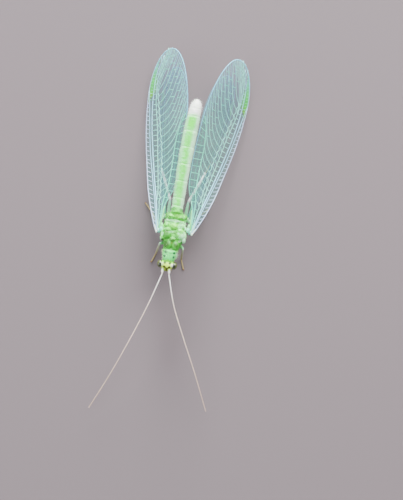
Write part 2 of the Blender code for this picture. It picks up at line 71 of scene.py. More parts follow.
# Head, with its eyes and the sockets of its antennae
HEAD = np.array([-0.1, -2.34, 2.4])
EYE_OUT = 0.53
EYE_RADII = (0.235, 0.285, 0.32)
SOCKET_OUT = {"left": 0.21, "right": -0.28}
SOCKET_FORWARD_UP = (-0.24, 0.08)

# The finest forms: the wings' membrane and the hairs
MEMBRANE = 0.012
HAIR_RADIUS = 0.006
FINE_HAIR_RADIUS = 0.005

# Colours as the eye reads them, 0 to 255
PALE_GREEN = (88, 222, 66)
MINT = (60, 226, 104)
PALE_MINT = (158, 248, 190)
LEAF = (40, 152, 22)
OLIVE = (34, 90, 2)
DARK_GREEN = (8, 60, 36)
YELLOW_GREEN = (122, 230, 44)
YELLOW = (200, 246, 44)
WHITE = (250, 254, 248)
BROWN = (120, 68, 14)
DARK_BROWN = (44, 28, 12)
TAN = (166, 148, 98)
CREAM = (240, 226, 206)
ROSE_CREAM = (228, 204, 190)
FEELER_TIP = (188, 160, 142)
TURQUOISE = (84, 226, 188)
PALE_VEIN = (136, 234, 214)
BLUE_VEIN = (150, 218, 238)
LILAC_WHITE = (182, 208, 240)
MEMBRANE_ROOT = (84, 172, 166)
MEMBRANE_TIP_SHEEN = (60, 146, 196)
SPECK = (28, 48, 44)
RIM_TIP = (112, 214, 248)
SPLIT_VEIN = (130, 214, 226)
ABDOMEN_GREEN = (84, 232, 82)
RIGHT_PLEURA_AND_PAINTED_LIGHT = (176, 250, 198)
LEFT_PLEURA_AND_HIGHLIGHT = (216, 255, 228)
BELLY = (186, 240, 150)
SOFT_JOINT = (190, 250, 196)
SEVENTH_PLATE = (56, 222, 16)
BACK_STRIPE = (70, 206, 40)
SHIELD_EDGE_HIGHLIGHT = (206, 220, 226)
COLLAR = (112, 232, 20)
BESIDE_EYE = (218, 248, 190)
LEFT_EYE_SIDE_HIGHLIGHT = (255, 255, 246)
FACE = (206, 234, 132)
LIP = (222, 232, 180)
EYE_GREEN = (84, 94, 40)
EYE_DARK = (8, 22, 2)
EYE_RIM = (62, 80, 26)
SCAPE_ROOT = (180, 224, 120)
HIND_THIGH = ((120, 244, 160), (176, 255, 226))
HIND_SHIN_TINTS = ((255, 255, 255), (244, 255, 250))
SHIN_TOP = (214, 240, 212)
FLOOR = (104, 94, 98)


def linear(colour):
    """A colour of 0 to 255 as the numbers that a shader mixes."""
    share = np.asarray(colour, float) / 255
    return np.where(share <= 0.04045, share / 12.92, ((share + 0.055) / 1.055) ** 2.4)


def smooth(share):
    """0 to 1 with soft ends, as a share goes from 0 to 1."""
    share = np.clip(share, 0, 1)
    return share * share * (3 - 2 * share)


def blend(first, second, share):
    """The first colour at share 0, the second at 1, and a mix between them."""
    first = np.asarray(first, float)
    return first + (np.asarray(second, float) - first) * share


LATTICE = 32
LATTICE_VALUES = np.random.default_rng(3).uniform(-1, 1, (LATTICE, LATTICE, LATTICE))


def grain(points, size):
    """Smooth random relief between -1 and 1 that changes over about this many millimetres."""
    spot = np.asarray(points, float) / size
    cell = np.floor(spot).astype(int)
    share = smooth(spot - cell)
    total = np.zeros(len(spot))
    for corner in np.ndindex(2, 2, 2):
        weight = np.prod(np.where(np.array(corner) == 1, share, 1 - share), axis=1)
        index = (cell + corner) % LATTICE
        total += weight * LATTICE_VALUES[index[:, 0], index[:, 1], index[:, 2]]
    return total


def curve_through(table, at):
    """A smooth curve through (position, value) rows, read at one position or an array of them."""
    table = np.array(table, float)
    xs = table[:, 0]
    ys = table[:, 1:]
    slopes = np.gradient(ys, xs, axis=0)
    at = np.clip(np.atleast_1d(np.asarray(at, float)), xs[0], xs[-1])
    span = np.clip(np.searchsorted(xs, at, side="right") - 1, 0, len(xs) - 2)
    width = (xs[span + 1] - xs[span])[:, None]
    t = (at - xs[span])[:, None] / width
    value = (
        (2 * t**3 - 3 * t**2 + 1) * ys[span]
        + (t**3 - 2 * t**2 + t) * width * slopes[span]
        + (3 * t**2 - 2 * t**3) * ys[span + 1]
        + (t**3 - t**2) * width * slopes[span + 1]
    )
    return value[:, 0] if ys.shape[1] == 1 else value


def smooth_path(corners, count):
    """Points at even steps along a smooth curve through the corners."""
    corners = np.array(corners, float)
    along = np.concatenate([[0], np.cumsum(np.linalg.norm(np.diff(corners, axis=0), axis=1))])
    return curve_through(np.column_stack([along, corners]), np.linspace(0, along[-1], count))


def read_path(path, shares, at):
    """The points of a path, known at some shares of its length, read at others."""
    return np.column_stack([np.interp(at, shares, path[:, axis]) for axis in range(3)])


def on_head(places, side):
    """Places given from the middle of the head, on one side of it."""
    return HEAD + np.array(places) * (side, 1, 1)


def to_row(points):
    """The animal's millimetres as the row's metres."""
    return (np.asarray(points, float) + ORIGIN) * MM


class Shape:
    """The points, faces and colours of one piece, gathered before its mesh is made."""

    def __init__(self):
        self.points = []
        self.faces = []
        self.colours = []
        self.count = 0

    def add(self, points, faces, colour):
        """Adds a closed form. The colour is one for all of it, or one for each point."""
        points = np.asarray(points, float)
        self.points.append(points)
        self.colours.append(np.broadcast_to(linear(colour), (len(points), 3)))
        self.faces += [tuple(int(i) + self.count for i in face) for face in faces]
        self.count += len(points)

    def mesh(self, name):
        mesh = bpy.data.meshes.new(name)
        mesh.from_pydata(np.concatenate(self.points).tolist(), [], self.faces)
        return mesh

    def piece(self, name, material, slot, nodes=()):
        mesh = self.mesh(name)
        paint(mesh, np.concatenate(self.colours))
        place(mesh, name, material, nodes)


def paint(mesh, colours):
    """Stores one linear colour for each point, for the material to read."""
    layer = mesh.color_attributes.new("paint", "FLOAT_COLOR", "POINT")
    colours = np.column_stack([colours, np.ones(len(colours))])
    layer.data.foreach_set("color", colours.astype(np.float32).ravel())


def place(mesh, name, material, nodes):
    """Turns a mesh in the animal's millimetres into a piece that rides with the part."""
    points = to_row(positions(mesh))
    mesh.vertices.foreach_set("co", points.astype(np.float32).ravel())
    mesh.shade_smooth()
    mesh.materials.append(material)
    obj = bpy.data.objects.new(name, mesh)
    bpy.context.scene.collection.objects.link(obj)
    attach(obj, "root")
    if nodes:
        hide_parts(*nodes)


def positions(mesh):
    points = np.empty(len(mesh.vertices) * 3, np.float32)
    mesh.vertices.foreach_get("co", points)
    return points.reshape(-1, 3).astype(float)


def normals_of(mesh):
    normals = np.empty(len(mesh.vertices) * 3, np.float32)
    mesh.vertex_normals.foreach_get("vector", normals)
    return normals.reshape(-1, 3).astype(float)


# Forms that a piece is made of


def unit(vectors):
    return vectors / np.maximum(np.linalg.norm(vectors, axis=-1, keepdims=True), 1e-12)


def tube(path, radii, sides=6):
    """Points and faces of a rod along a path, closed by a point just past each end."""
    path = np.asarray(path, float)
    radii = np.broadcast_to(radii, len(path))
    tangents = unit(np.gradient(path, axis=0))
    first = np.array([0.0, 0.0, 1.0]) if abs(tangents[0][2]) < 0.9 else np.array([1.0, 0.0, 0.0])
    across = unit(np.cross(tangents[0], first))
    angles = 2 * math.pi * np.arange(sides) / sides
    rings = []
    for point, tangent, radius in zip(path, tangents, radii):
        across = unit(across - tangent * (across @ tangent))
        up = np.cross(tangent, across)
        rings.append(point + radius * (np.outer(np.cos(angles), across) + np.outer(np.sin(angles), up)))
    ends = [path[0] - tangents[0] * radii[0] * 0.5, path[-1] + tangents[-1] * radii[-1] * 0.5]
    faces = ring_faces(len(rings), sides)
    last = len(rings) * sides
    for i in range(sides):
        j = (i + 1) % sides
        faces.append((last, j, i))
        faces.append((last + 1, last - sides + i, last - sides + j))
    return np.concatenate([*rings, ends]), faces


def along_rod(shares, sides):
    """How far along a rod each of its points from tube() lies, as a column."""
    return np.append(np.repeat(shares, sides), [0.0, 1.0])[:, None]


def ring_faces(rings, sides):
    faces = []
    for r in range(rings - 1):
        for i in range(sides):
            j = (i + 1) % sides
            faces.append((r * sides + i, r * sides + j, (r + 1) * sides + j, (r + 1) * sides + i))
    return faces


def ball(middle, radii, level=4):
    """Points and faces of an ellipsoid."""
    bm = bmesh.new()
    bmesh.ops.create_icosphere(bm, subdivisions=level, radius=1.0)
    points = np.array([vertex.co[:] for vertex in bm.verts]) * radii + middle
    faces = [tuple(vertex.index for vertex in face.verts) for face in bm.faces]
    bm.free()
    return points, faces


def loft(rings):
    """Points and faces of a body through rings of equal count, with a flat cap at each end."""
    sides = len(rings[0])
    faces = ring_faces(len(rings), sides)
    faces.append(tuple(reversed(range(sides))))
    faces.append(tuple(range((len(rings) - 1) * sides, len(rings) * sides)))
    return np.concatenate(rings), faces


def body_ring(y, middle_x, half_width, low, high, squareness, sides):
    """One cross-section of the trunk: an ellipse at squareness 2, and boxier above it."""
    angles = 2 * math.pi * (np.arange(sides) + 0.5) / sides
    c, s = np.cos(angles), np.sin(angles)
    x = middle_x + np.sign(c) * abs(c) ** (2 / squareness) * half_width
    z = (high + low) / 2 + np.sign(s) * abs(s) ** (2 / squareness) * (high - low) / 2
    return np.column_stack([x, np.full(sides, y), z])


def sheet(grid, thickness):
    """Points and faces of a thin closed sheet over a grid of points, rows by columns by three."""
    rows, columns = grid.shape[:2]
    flat = grid.reshape(-1, 3)
    half = np.array([0.0, 0.0, thickness / 2])
    below = rows * columns
    faces = []
    for r in range(rows - 1):
        for c in range(columns - 1):
            a = r * columns + c
            corner = (a, a + 1, a + columns + 1, a + columns)
            faces.append(corner)
            faces.append(tuple(below + i for i in reversed(corner)))
    rim = [r * columns for r in range(rows)]
    rim += [(rows - 1) * columns + c for c in range(1, columns)]
    rim += [r * columns + columns - 1 for r in range(rows - 2, -1, -1)]
    rim += list(range(columns - 2, 0, -1))
    for a, b in zip(rim, [*rim[1:], rim[0]]):
        faces.append((a, b, below + b, below + a))
    return np.concatenate([flat + half, flat - half]), faces


# Where the three corners of a hair's foot stand round it
HAIR_CORNERS = (0.0, 2.094, 4.189)


def add_hairs(shape, roots, directions, lengths, colour, radius):
    """Three-sided tapered hairs, each with its foot just under the surface."""
    roots = np.asarray(roots, float)
    count = len(roots)
    directions = unit(np.asarray(directions, float))
    lengths = np.broadcast_to(lengths, count)[:, None]
    helper = np.where(abs(directions[:, 2:]) < 0.9, [[0.0, 0.0, 1.0]], [[1.0, 0.0, 0.0]])
    across = unit(np.cross(directions, helper))
    up = np.cross(directions, across)
    feet = roots - directions * radius
    corners = [feet + radius * (math.cos(a) * across + math.sin(a) * up) for a in HAIR_CORNERS]
    points = np.stack([*corners, roots + directions * lengths], axis=1).reshape(-1, 3)
    faces = []
    for i in range(0, 4 * count, 4):
        faces += [(i, i + 1, i + 3), (i + 1, i + 2, i + 3), (i + 2, i, i + 3), (i + 2, i + 1, i)]
    shape.add(points, faces, colour)


# Materials


def shader_of(material):
    return material.node_tree.nodes["Principled BSDF"]


def make_material(name, roughness, **settings):
    """A material whose colour is the painted one, with the settings put on the shader's own sockets."""
    material = bpy.data.materials.new(name)
    material.use_nodes = True
    shader = shader_of(material)
    shader.inputs["Roughness"].default_value = roughness
    for socket, value in settings.items():
        shader.inputs[socket.replace("_", " ")].default_value = value
    return material


def link(material, source, output, target, socket):
    material.node_tree.links.new(source.outputs[output], target.inputs[socket])


def add_node(material, kind, **values):
    node = material.node_tree.nodes.new(kind)
    for socket, value in values.items():
        node.inputs[socket.replace("_", " ")].default_value = value
    return node


# The mix node's sockets for two colours and their result, by number, because its names repeat
MIX_FIRST, MIX_SECOND, MIX_RESULT = 6, 7, 2


def painted_colour(material, blotch_scale, light, dark):
    """The painted colour, lighter and darker in soft blotches. Gives the nodes of place and of blotches."""
    paint_node = add_node(material, "ShaderNodeAttribute")
    paint_node.attribute_name = "paint"
    place_node = add_node(material, "ShaderNodeTexCoord")
    noise = add_node(material, "ShaderNodeTexNoise", Scale=blotch_scale, Detail=5.0, Roughness=0.6)
    ramp = add_node(material, "ShaderNodeValToRGB")
    for element, position, grey in zip(ramp.color_ramp.elements, (0.3, 0.7), (dark, light)):
        element.position = position
        element.color = (grey, grey, grey, 1)
    mix = add_node(material, "ShaderNodeMix")
    mix.data_type = "RGBA"
    mix.blend_type = "MULTIPLY"
    mix.inputs["Factor"].default_value = 1.0
    link(material, place_node, "Object", noise, "Vector")
    link(material, noise, "Fac", ramp, "Fac")
    link(material, paint_node, "Color", mix, MIX_FIRST)
    link(material, ramp, "Color", mix, MIX_SECOND)
    link(material, mix, MIX_RESULT, shader_of(material), "Base Color")
    return place_node, noise


def add_bump(material, place_node, kind, scale, distance, strength):
    """A fine relief in the surface, from noise or from round cells."""
    shader = shader_of(material)
    texture = add_node(material, kind, Scale=scale)
    link(material, place_node, "Object", texture, "Vector")
    bump = add_node(material, "ShaderNodeBump", Strength=strength, Distance=distance)
    link(material, texture, "Distance" if kind == "ShaderNodeTexVoronoi" else "Fac", bump, "Height")
    link(material, bump, "Normal", shader, "Normal")


def rough_variation(material, noise, low, high):
    """Makes the surface shinier and duller in the same blotches as its colour."""
    spread = add_node(material, "ShaderNodeMapRange", To_Min=low, To_Max=high)
    link(material, noise, "Fac", spread, "Value")
    link(material, spread, "Result", shader_of(material), "Roughness")


def cuticle(name, rough, relief, blotches=2600.0):
    """Living cuticle: waxy, a little translucent, with a fine grain."""
    material = make_material(
        name, 0.4, Subsurface_Weight=0.2, Subsurface_Scale=0.00015, Subsurface_Radius=(0.6, 1.0, 0.5)
    )
    place_node, noise = painted_colour(material, blotches, 1.08, 0.84)
    rough_variation(material, noise, *rough)
    add_bump(material, place_node, "ShaderNodeTexNoise", 38000.0, relief, 0.5)
    return material


def eye_material():
    """Bronze-green eye with a metallic shine under a clear, faceted surface."""
    material = make_material("eye", 0.26, Metallic=0.2, Coat_Weight=1.0, Coat_Roughness=0.08)
    place_node = painted_colour(material, 9000.0, 1.2, 0.75)[0]
    add_bump(material, place_node, "ShaderNodeTexVoronoi", 42000.0, 0.000002, 0.12)
    return material


def membrane_material(name, alpha):
    """Clear wing membrane: thin enough to see through, with a smooth, faintly coloured shine."""
    material = make_material(name, 0.2, Alpha=alpha, IOR=1.56, Thin_Film_Thickness=340.0, Thin_Film_IOR=1.4)
    place_node = painted_colour(material, 900.0, 1.05, 0.9)[0]
    add_bump(material, place_node, "ShaderNodeTexNoise", 2600.0, 0.00003, 0.35)
    return material


def stigma_material():
    """The tinted cell near the wing tip: waxy, and only a little see-through."""
    material = make_material("stigma", 0.4, Alpha=0.62)
    place_node = painted_colour(material, 3200.0, 1.1, 0.8)[0]
    add_bump(material, place_node, "ShaderNodeTexNoise", 9000.0, 0.00001, 0.4)
    return material


SKIN = cuticle("skin", (0.42, 0.62), 0.000006)
LIMB = cuticle("limb", (0.32, 0.5), 0.000004)
FEELER = cuticle("feeler", (0.4, 0.6), 0.000004)
VEIN = cuticle("vein", (0.3, 0.5), 0.000003)
HAIR = cuticle("hair", (0.35, 0.5), 0.000001)
EYE = eye_material()
CLEAR = membrane_material("wing_membrane", 0.12)
CLEAR_BELOW = membrane_material("hind_membrane", 0.06)
STIGMA = stigma_material()


# The trunk: neck, thorax and abdomen


# Where the thorax lies along Y, for its seams and colours
THORAX_FROM_Y, THORAX_TO_Y = -2.1, 1.9

# Stations of the thorax: y, middle x, half width, low z and high z
THORAX = [
    (-2.4, -0.1, 0.2, 2.14, 2.5),
    (-2.2, -0.09, 0.31, 2.02, 2.64),
    (-2.02, -0.075, 0.42, 1.94, 2.77),
    (-1.6, -0.06, 0.525, 1.8, 2.85),
    (-1.24, -0.04, 0.59, 1.7, 2.84),
    (-1.14, -0.03, 0.56, 1.62, 2.76),
    (-0.8, 0.0, 0.64, 1.42, 2.82),
    (-0.4, 0.0, 0.84, 1.22, 2.82),
    (0.1, 0.0, 0.84, 1.12, 2.82),
    (0.6, 0.0, 0.82, 1.14, 2.78),
    (1.0, 0.0, 0.8, 1.22, 2.7),
    (1.4, 0.0, 0.6, 1.38, 2.72),
    (1.72, -0.02, 0.44, 1.95, 2.78),
]

# Lobes of the thorax for each side: out from the middle, y, z and the three radii
PAIRED_LOBES = [
    ((0.28, -0.86, 2.72), (0.26, 0.3, 0.19)),
    ((0.44, -0.1, 2.76), (0.36, 0.34, 0.22)),
    ((0.46, 0.2, 2.74), (0.34, 0.24, 0.18)),
    ((0.58, 0.6, 2.66), (0.2, 0.22, 0.15)),
    ((0.34, 1.3, 2.66), (0.26, 0.18, 0.19)),
    ((0.72, -0.36, 2.6), (0.22, 0.24, 0.18)),
    ((0.84, -0.38, 2.54), (0.13, 0.22, 0.12)),
    ((0.8, -0.04, 2.52), (0.18, 0.34, 0.18)),
    ((0.74, 0.44, 2.5), (0.16, 0.24, 0.18)),
    ((0.66, 0.82, 2.5), (0.14, 0.18, 0.14)),
    ((0.66, 1.36, 2.12), (0.18, 0.22, 0.17)),
    ((0.57, 1.28, 2.44), (0.12, 0.2, 0.17)),
    ((0.57, -0.3, 2.0), (0.34, 0.32, 0.62)),
    ((0.6, 0.26, 1.9), (0.3, 0.28, 0.62)),
    ((0.52, 0.72, 1.94), (0.3, 0.24, 0.56)),
    ((0.44, 1.26, 2.0), (0.27, 0.28, 0.46)),
    ((0.34, -1.55, 2.2), (0.22, 0.36, 0.4)),
    ((0.3, -1.02, 1.94), (0.3, 0.2, 0.42)),
    ((0.2, 0.98, 2.63), (0.3, 0.13, 0.12)),
    ((0.5, 0.92, 2.58), (0.24, 0.15, 0.13)),
    ((0.2, 1.62, 2.68), (0.2, 0.09, 0.15)),
]
MIDDLE_LOBES = [
    ((0.0, -0.42, 2.8), (0.2, 0.2, 0.12)),
    ((0.0, -0.02, 2.76), (0.16, 0.26, 0.12)),
    ((0.0, 0.56, 2.77), (0.32, 0.24, 0.17)),
    ((0.0, 0.78, 2.72), (0.16, 0.14, 0.14)),
    ((0.0, 1.36, 2.72), (0.2, 0.17, 0.12)),
]

# Lobes of the head, from its middle, for each side and then single ones
PAIRED_HEAD_LOBES = [
    ((0.35, 0.04, 0.06), (0.15, 0.25, 0.3)),
    ((0.24, -0.16, -0.5), (0.14, 0.18, 0.28)),
    ((0.12, -0.24, -0.86), (0.09, 0.12, 0.15)),
    ((0.26, -0.22, 0.04), (0.13, 0.11, 0.15)),
]
MIDDLE_HEAD_LOBES = [
    ((0.0, 0.0, 0.0), (0.44, 0.33, 0.38)),
    ((0.0, -0.02, 0.25), (0.34, 0.24, 0.13)),
    ((0.0, -0.2, -0.28), (0.33, 0.29, 0.42)),
    ((0.0, -0.34, -0.6), (0.21, 0.13, 0.16)),
    ((0.0, -0.33, -0.84), (0.16, 0.1, 0.14)),
    ((0.0, -0.06, -0.76), (0.2, 0.14, 0.26)),
]

# Furrows and painted marks of the head, as lines from its middle; each is repeated on the other side
HEAD_SEAMS = [
    ([(0, 0.26, 0.34), (0, 0.0, 0.42), (0, -0.2, 0.36)], 0.022, 0.012),
    ([(0, -0.5, -0.47), (0.12, -0.48, -0.48), (0.24, -0.36, -0.46), (0.3, -0.24, -0.5)], 0.024, 0.03),
    ([(0, -0.48, -0.73), (0.1, -0.46, -0.73), (0.2, -0.38, -0.72)], 0.024, 0.045),
    ([(0.28, -0.34, -0.42), (0.25, -0.34, -0.62), (0.19, -0.34, -0.8)], 0.024, 0.03),
    ([(0.4, -0.2, 0.02), (0.38, -0.28, -0.2), (0.34, -0.28, -0.4)], 0.026, 0.03),
]
HEAD_MARKS = [
    ([(0.0, -0.48, -0.06), (0.0, -0.54, -0.26)], 0.055, BROWN, 0.9),
    ([(0.12, -0.42, -0.08), (0.24, -0.42, -0.16), (0.36, -0.34, -0.1)], 0.034, DARK_BROWN, 0.85),
    ([(0.39, -0.24, -0.22), (0.34, -0.28, -0.44), (0.27, -0.32, -0.66)], 0.04, DARK_BROWN, 0.9),
    ([(0.16, -0.46, -0.54), (0.15, -0.44, -0.68)], 0.03, BROWN, 0.75),
    ([(0.0, -0.44, -0.94), (0.14, -0.38, -0.94)], 0.035, BROWN, 0.5),
]
HEAD_ENDS_Y = -2.02
HEAD_SOFTENING = 3

# The groove all round the body behind the pronotum's shield
SHIELD_REAR_Y = -1.19
SHIELD_GROOVE = 0.05
SHIELD_GROOVE_WIDTH = 0.035

# Painted on the crown in plan, out from the middle of the head and forward of it: the Y between the antennae
CROWN_LINES = [
    ([(0.19, -0.17), (0.14, -0.22), (0.04, -0.28), (0.0, -0.34)], 0.045, (62, 52, 6), 0.95),
    ([(0.0, -0.3), (-0.01, -0.4), (-0.03, -0.58)], 0.055, (84, 46, 6), 0.95),
    ([(-0.02, -0.42), (-0.02, -0.5)], 0.045, DARK_BROWN, 0.8),
]
CROWN_SPOTS = [(0.19, 0.13, (16, 60, 0)), (0.19, -0.17, (16, 42, 0))]

# Middle x and half width of the abdomen along Y, as far as the start of its blunt tip
ABDOMEN = [
    (1.6, -0.03, 0.42), (3, -0.04, 0.43), (5, -0.05, 0.48),
    (6.5, -0.02, 0.51), (8.2, 0.03, 0.5), (9.3, 0.1, 0.46),
]
ABDOMEN_Z = 2.55
SEGMENT_JOINTS = np.array([2.1, 2.72, 4.0, 5.28, 6.55, 7.8, 8.92, 9.5])
JOINT_DEPTH = 0.028
JOINT_WIDTH = 0.045
PLATE_SWELL = 0.012
PLATE_LENGTH = 1.1
BELLY_DEPTH = 1.04

# The abdomen's blunt tip: how round it is, how wide its end stays, and how far it leans to the left
TIP_ROUNDNESS = 1.9
TIP_END_WIDTH = 0.26
TIP_LEAN = 0.04
TIP_RINGS = 24

# The plates round the tip: a pair above, then one below and one at the end, each with its radii
TIP_PLATE_X = 0.13
TIP_PLATE_OUT = 0.11
TIP_PLATES = ((9.86, 2.66), (0.15, 0.26, 0.2))
TIP_SINGLES = [((0.13, 9.85, 2.38), (0.2, 0.26, 0.16)), ((0.16, 10.08, 2.62), (0.1, 0.11, 0.1))]

# How the trunk's cross-sections are drawn
THORAX_RINGS = 90
THORAX_SQUARENESS = 2.4
ABDOMEN_STEP = 0.04
ABDOMEN_SQUARENESS = 2.12
TRUNK_SIDES = 56

# The jaw from the middle of the head, and its radii
MANDIBLE = [(0.22, -0.2, -0.7), (0.2, -0.28, -0.84), (0.13, -0.32, -0.96), (0.02, -0.32, -1.01)]
MANDIBLE_RADII = [0.09, 0.085, 0.06, 0.025]

# The skin: how finely it is laid over the forms, and how often it is softened
SKIN_VOXEL = 0.023
SKIN_SOFTENING = 10

# Seams on the back, as lines in plan, with their half width and depth. Each is repeated on the other side.
BACK_SEAMS = [
    ([(-0.06, -2.0), (-0.05, -1.3)], 0.035, 0.012),
    ([(-0.05, -1.5), (0.25, -1.47), (0.5, -1.4)], 0.05, 0.03),
    ([(0.0, -1.15), (0.0, -0.62)], 0.04, 0.03),
    ([(0.0, -0.64), (0.22, -0.5), (0.34, -0.4), (0.6, -0.48), (0.72, -0.6)], 0.035, 0.045),
    ([(0.0, -0.3), (0.0, 0.34)], 0.035, 0.03),
    ([(0.0, -0.3), (0.14, -0.26), (0.3, -0.36)], 0.03, 0.025),
    ([(0.0, 0.34), (0.2, 0.3), (0.42, 0.46), (0.5, 0.62)], 0.035, 0.045),
    ([(0.0, 0.86), (0.35, 0.84), (0.7, 0.8)], 0.03, 0.04),
    ([(0.0, 1.08), (0.35, 1.06), (0.7, 1.04)], 0.03, 0.04),
    ([(0.0, 1.12), (0.02, 1.3), (0.28, 1.44), (0.34, 1.56)], 0.03, 0.03),
    ([(0.0, 1.6), (0.3, 1.6), (0.5, 1.56)], 0.03, 0.03),
]

# Seams on the flanks, as lines of y and z
FLANK_SEAMS = [
    ([(-1.9, 2.45), (-1.3, 2.4)], 0.04, 0.03),
    ([(-0.9, 2.5), (-0.5, 2.1), (-0.4, 1.3)], 0.04, 0.04),
    ([(0.1, 2.5), (0.16, 2.0), (0.05, 1.2)], 0.035, 0.04),
    ([(0.45, 2.4), (0.6, 1.9), (0.5, 1.2)], 0.035, 0.035),
    ([(0.98, 2.6), (0.96, 1.9), (0.9, 1.25)], 0.035, 0.045),
    ([(1.5, 2.5), (1.45, 1.9)], 0.03, 0.03),
]


def abdomen_rings():
    """Cross-sections of the abdomen: each plate swells to its rear edge, then steps in to the soft joint."""
    starts, tip_starts = ABDOMEN[0][0], ABDOMEN[-1][0]
    rings = []
    tip = np.linspace(tip_starts, ABDOMEN_TIP_Y, TIP_RINGS)
    for y in np.concatenate([np.arange(starts, tip_starts, ABDOMEN_STEP), tip]):
        middle_x, half_width = curve_through(ABDOMEN, y)[0]
        past = max(0.0, y - tip_starts) / (ABDOMEN_TIP_Y - tip_starts)
        radius = half_width * max(math.sqrt(max(0.0, 1 - past**TIP_ROUNDNESS)), TIP_END_WIDTH)
        nearest = SEGMENT_JOINTS[np.argmin(abs(SEGMENT_JOINTS - y))]
        radius -= JOINT_DEPTH * math.exp(-(((y - nearest) / JOINT_WIDTH) ** 2)) * (1 - past)
        before = y - SEGMENT_JOINTS[SEGMENT_JOINTS < y].max(initial=starts)
        radius += PLATE_SWELL * smooth(before / PLATE_LENGTH) * (1 - past)
        low, high = ABDOMEN_Z - radius * BELLY_DEPTH, ABDOMEN_Z + radius
        row = (middle_x + TIP_LEAN * past, radius, low, high)
        rings.append(body_ring(y, *row, ABDOMEN_SQUARENESS, TRUNK_SIDES))
    return rings


def make_skin_form():
    """Head, thorax and abdomen as one overlapping set of closed forms."""
    form = Shape()
    ys = np.linspace(THORAX[0][0], THORAX[-1][0], THORAX_RINGS)
    rows = curve_through(THORAX, ys)
    rings = [body_ring(y, *row, THORAX_SQUARENESS, TRUNK_SIDES) for y, row in zip(ys, rows)]
    balls = [*MIDDLE_LOBES, *[(HEAD + middle, radii) for middle, radii in MIDDLE_HEAD_LOBES], *TIP_SINGLES]
    for side in SIDES.values():
        balls += [(np.array(middle) * (side, 1, 1), radii) for middle, radii in PAIRED_LOBES]
        balls += [(on_head(middle, side), radii) for middle, radii in PAIRED_HEAD_LOBES]
        balls.append(((TIP_PLATE_X + side * TIP_PLATE_OUT, *TIP_PLATES[0]), TIP_PLATES[1]))
    forms = [loft(rings), loft(abdomen_rings())]
    forms += [ball(middle, radii) for middle, radii in balls]
    forms += [tube(on_head(MANDIBLE, side), MANDIBLE_RADII, 10) for side in SIDES.values()]
    for points, faces in forms:
        form.add(points, faces, WHITE)
    return form


def distance_to(line, points):
    """How far each point is from a line of straight pieces, in plan or in space."""
    best = np.full(len(points), 1e9)
    line = np.asarray(line, float)
    for start, end in zip(line, line[1:]):
        along = end - start
        share = np.clip((points - start) @ along / max(along @ along, 1e-9), 0, 1)
        best = np.minimum(best, np.linalg.norm(points - start - share[:, None] * along, axis=1))
    return best


def cut_seams(points, normals):
    """Presses the seams into the skin."""
    depth = np.zeros(len(points))
    on_back = smooth((normals[:, 2] - 0.1) / 0.3) * (points[:, 1] < THORAX_TO_Y)
    on_flank = smooth((abs(normals[:, 0]) - 0.35) / 0.3) * (points[:, 1] < THORAX_TO_Y)
    for seams, axes, mask in ((BACK_SEAMS, (0, 1), on_back), (FLANK_SEAMS, (1, 2), on_flank)):
        for line, half_width, most in seams:
            for side in SIDES.values():
                flip = (side, 1) if axes == (0, 1) else (1, 1)
                reach = distance_to(np.array(line) * flip, points[:, axes])
                depth = np.maximum(depth, most * np.exp(-((reach / half_width) ** 2)) * mask)
    for line, half_width, most in HEAD_SEAMS:
        for side in SIDES.values():
            reach = distance_to(on_head(line, side), points)
            depth = np.maximum(depth, most * np.exp(-((reach / half_width) ** 2)))
    ring = abs(points[:, 1] - SHIELD_REAR_Y)
    depth = np.maximum(depth, SHIELD_GROOVE * np.exp(-((ring / SHIELD_GROOVE_WIDTH) ** 2)))
    return points - normals * (depth + fine_relief(points))[:, None]


def fine_relief(points):
    """Wrinkles and grain: coarse on the thorax, fine on the head, and cross folds on the abdomen."""
    y = points[:, 1]
    thorax = smooth((y + 2.0) / 0.1) * smooth((1.75 - y) / 0.1)
    abdomen = smooth((y - 1.8) / 0.2)
    coarse = 0.014 * grain(points, 0.2) + 0.008 * grain(points + 3.1, 0.09)
    folds = 0.008 * grain(points * (0.35, 1.0, 0.35), 0.07) + 0.005 * grain(points, 0.16)
    return coarse * thorax + folds * abdomen + 0.003 * grain(points, 0.05)


def remeshed(form, voxel, rounds):
    """One closed surface round all the forms, with its creases softened."""
    obj = bpy.data.objects.new("form", form.mesh("form"))
    bpy.context.scene.collection.objects.link(obj)
    cover = obj.modifiers.new("cover", "REMESH")
    cover.mode = "VOXEL"
    cover.voxel_size = voxel
    soften = obj.modifiers.new("soften", "SMOOTH")
    soften.factor = 0.5
    soften.iterations = rounds
    graph = bpy.context.evaluated_depsgraph_get()
    mesh = bpy.data.meshes.new_from_object(obj.evaluated_get(graph), depsgraph=graph)
    bpy.data.objects.remove(obj, do_unlink=True)
    return mesh


def refine_head(mesh):
    """Gives the head four faces for each one, so that it can hold finer furrows and marks."""
    bm = bmesh.new()
    bm.from_mesh(mesh)
    edges = [edge for edge in bm.edges if max(vertex.co.y for vertex in edge.verts) < HEAD_ENDS_Y]
    bmesh.ops.subdivide_edges(bm, edges=edges, cuts=1, use_grid_fill=True)
    head = [vertex for vertex in bm.verts if vertex.co.y < HEAD_ENDS_Y]
    for _ in range(HEAD_SOFTENING):
        bmesh.ops.smooth_vert(bm, verts=head, factor=0.5, use_axis_x=True, use_axis_y=True, use_axis_z=True)
    bm.to_mesh(mesh)
    bm.free()


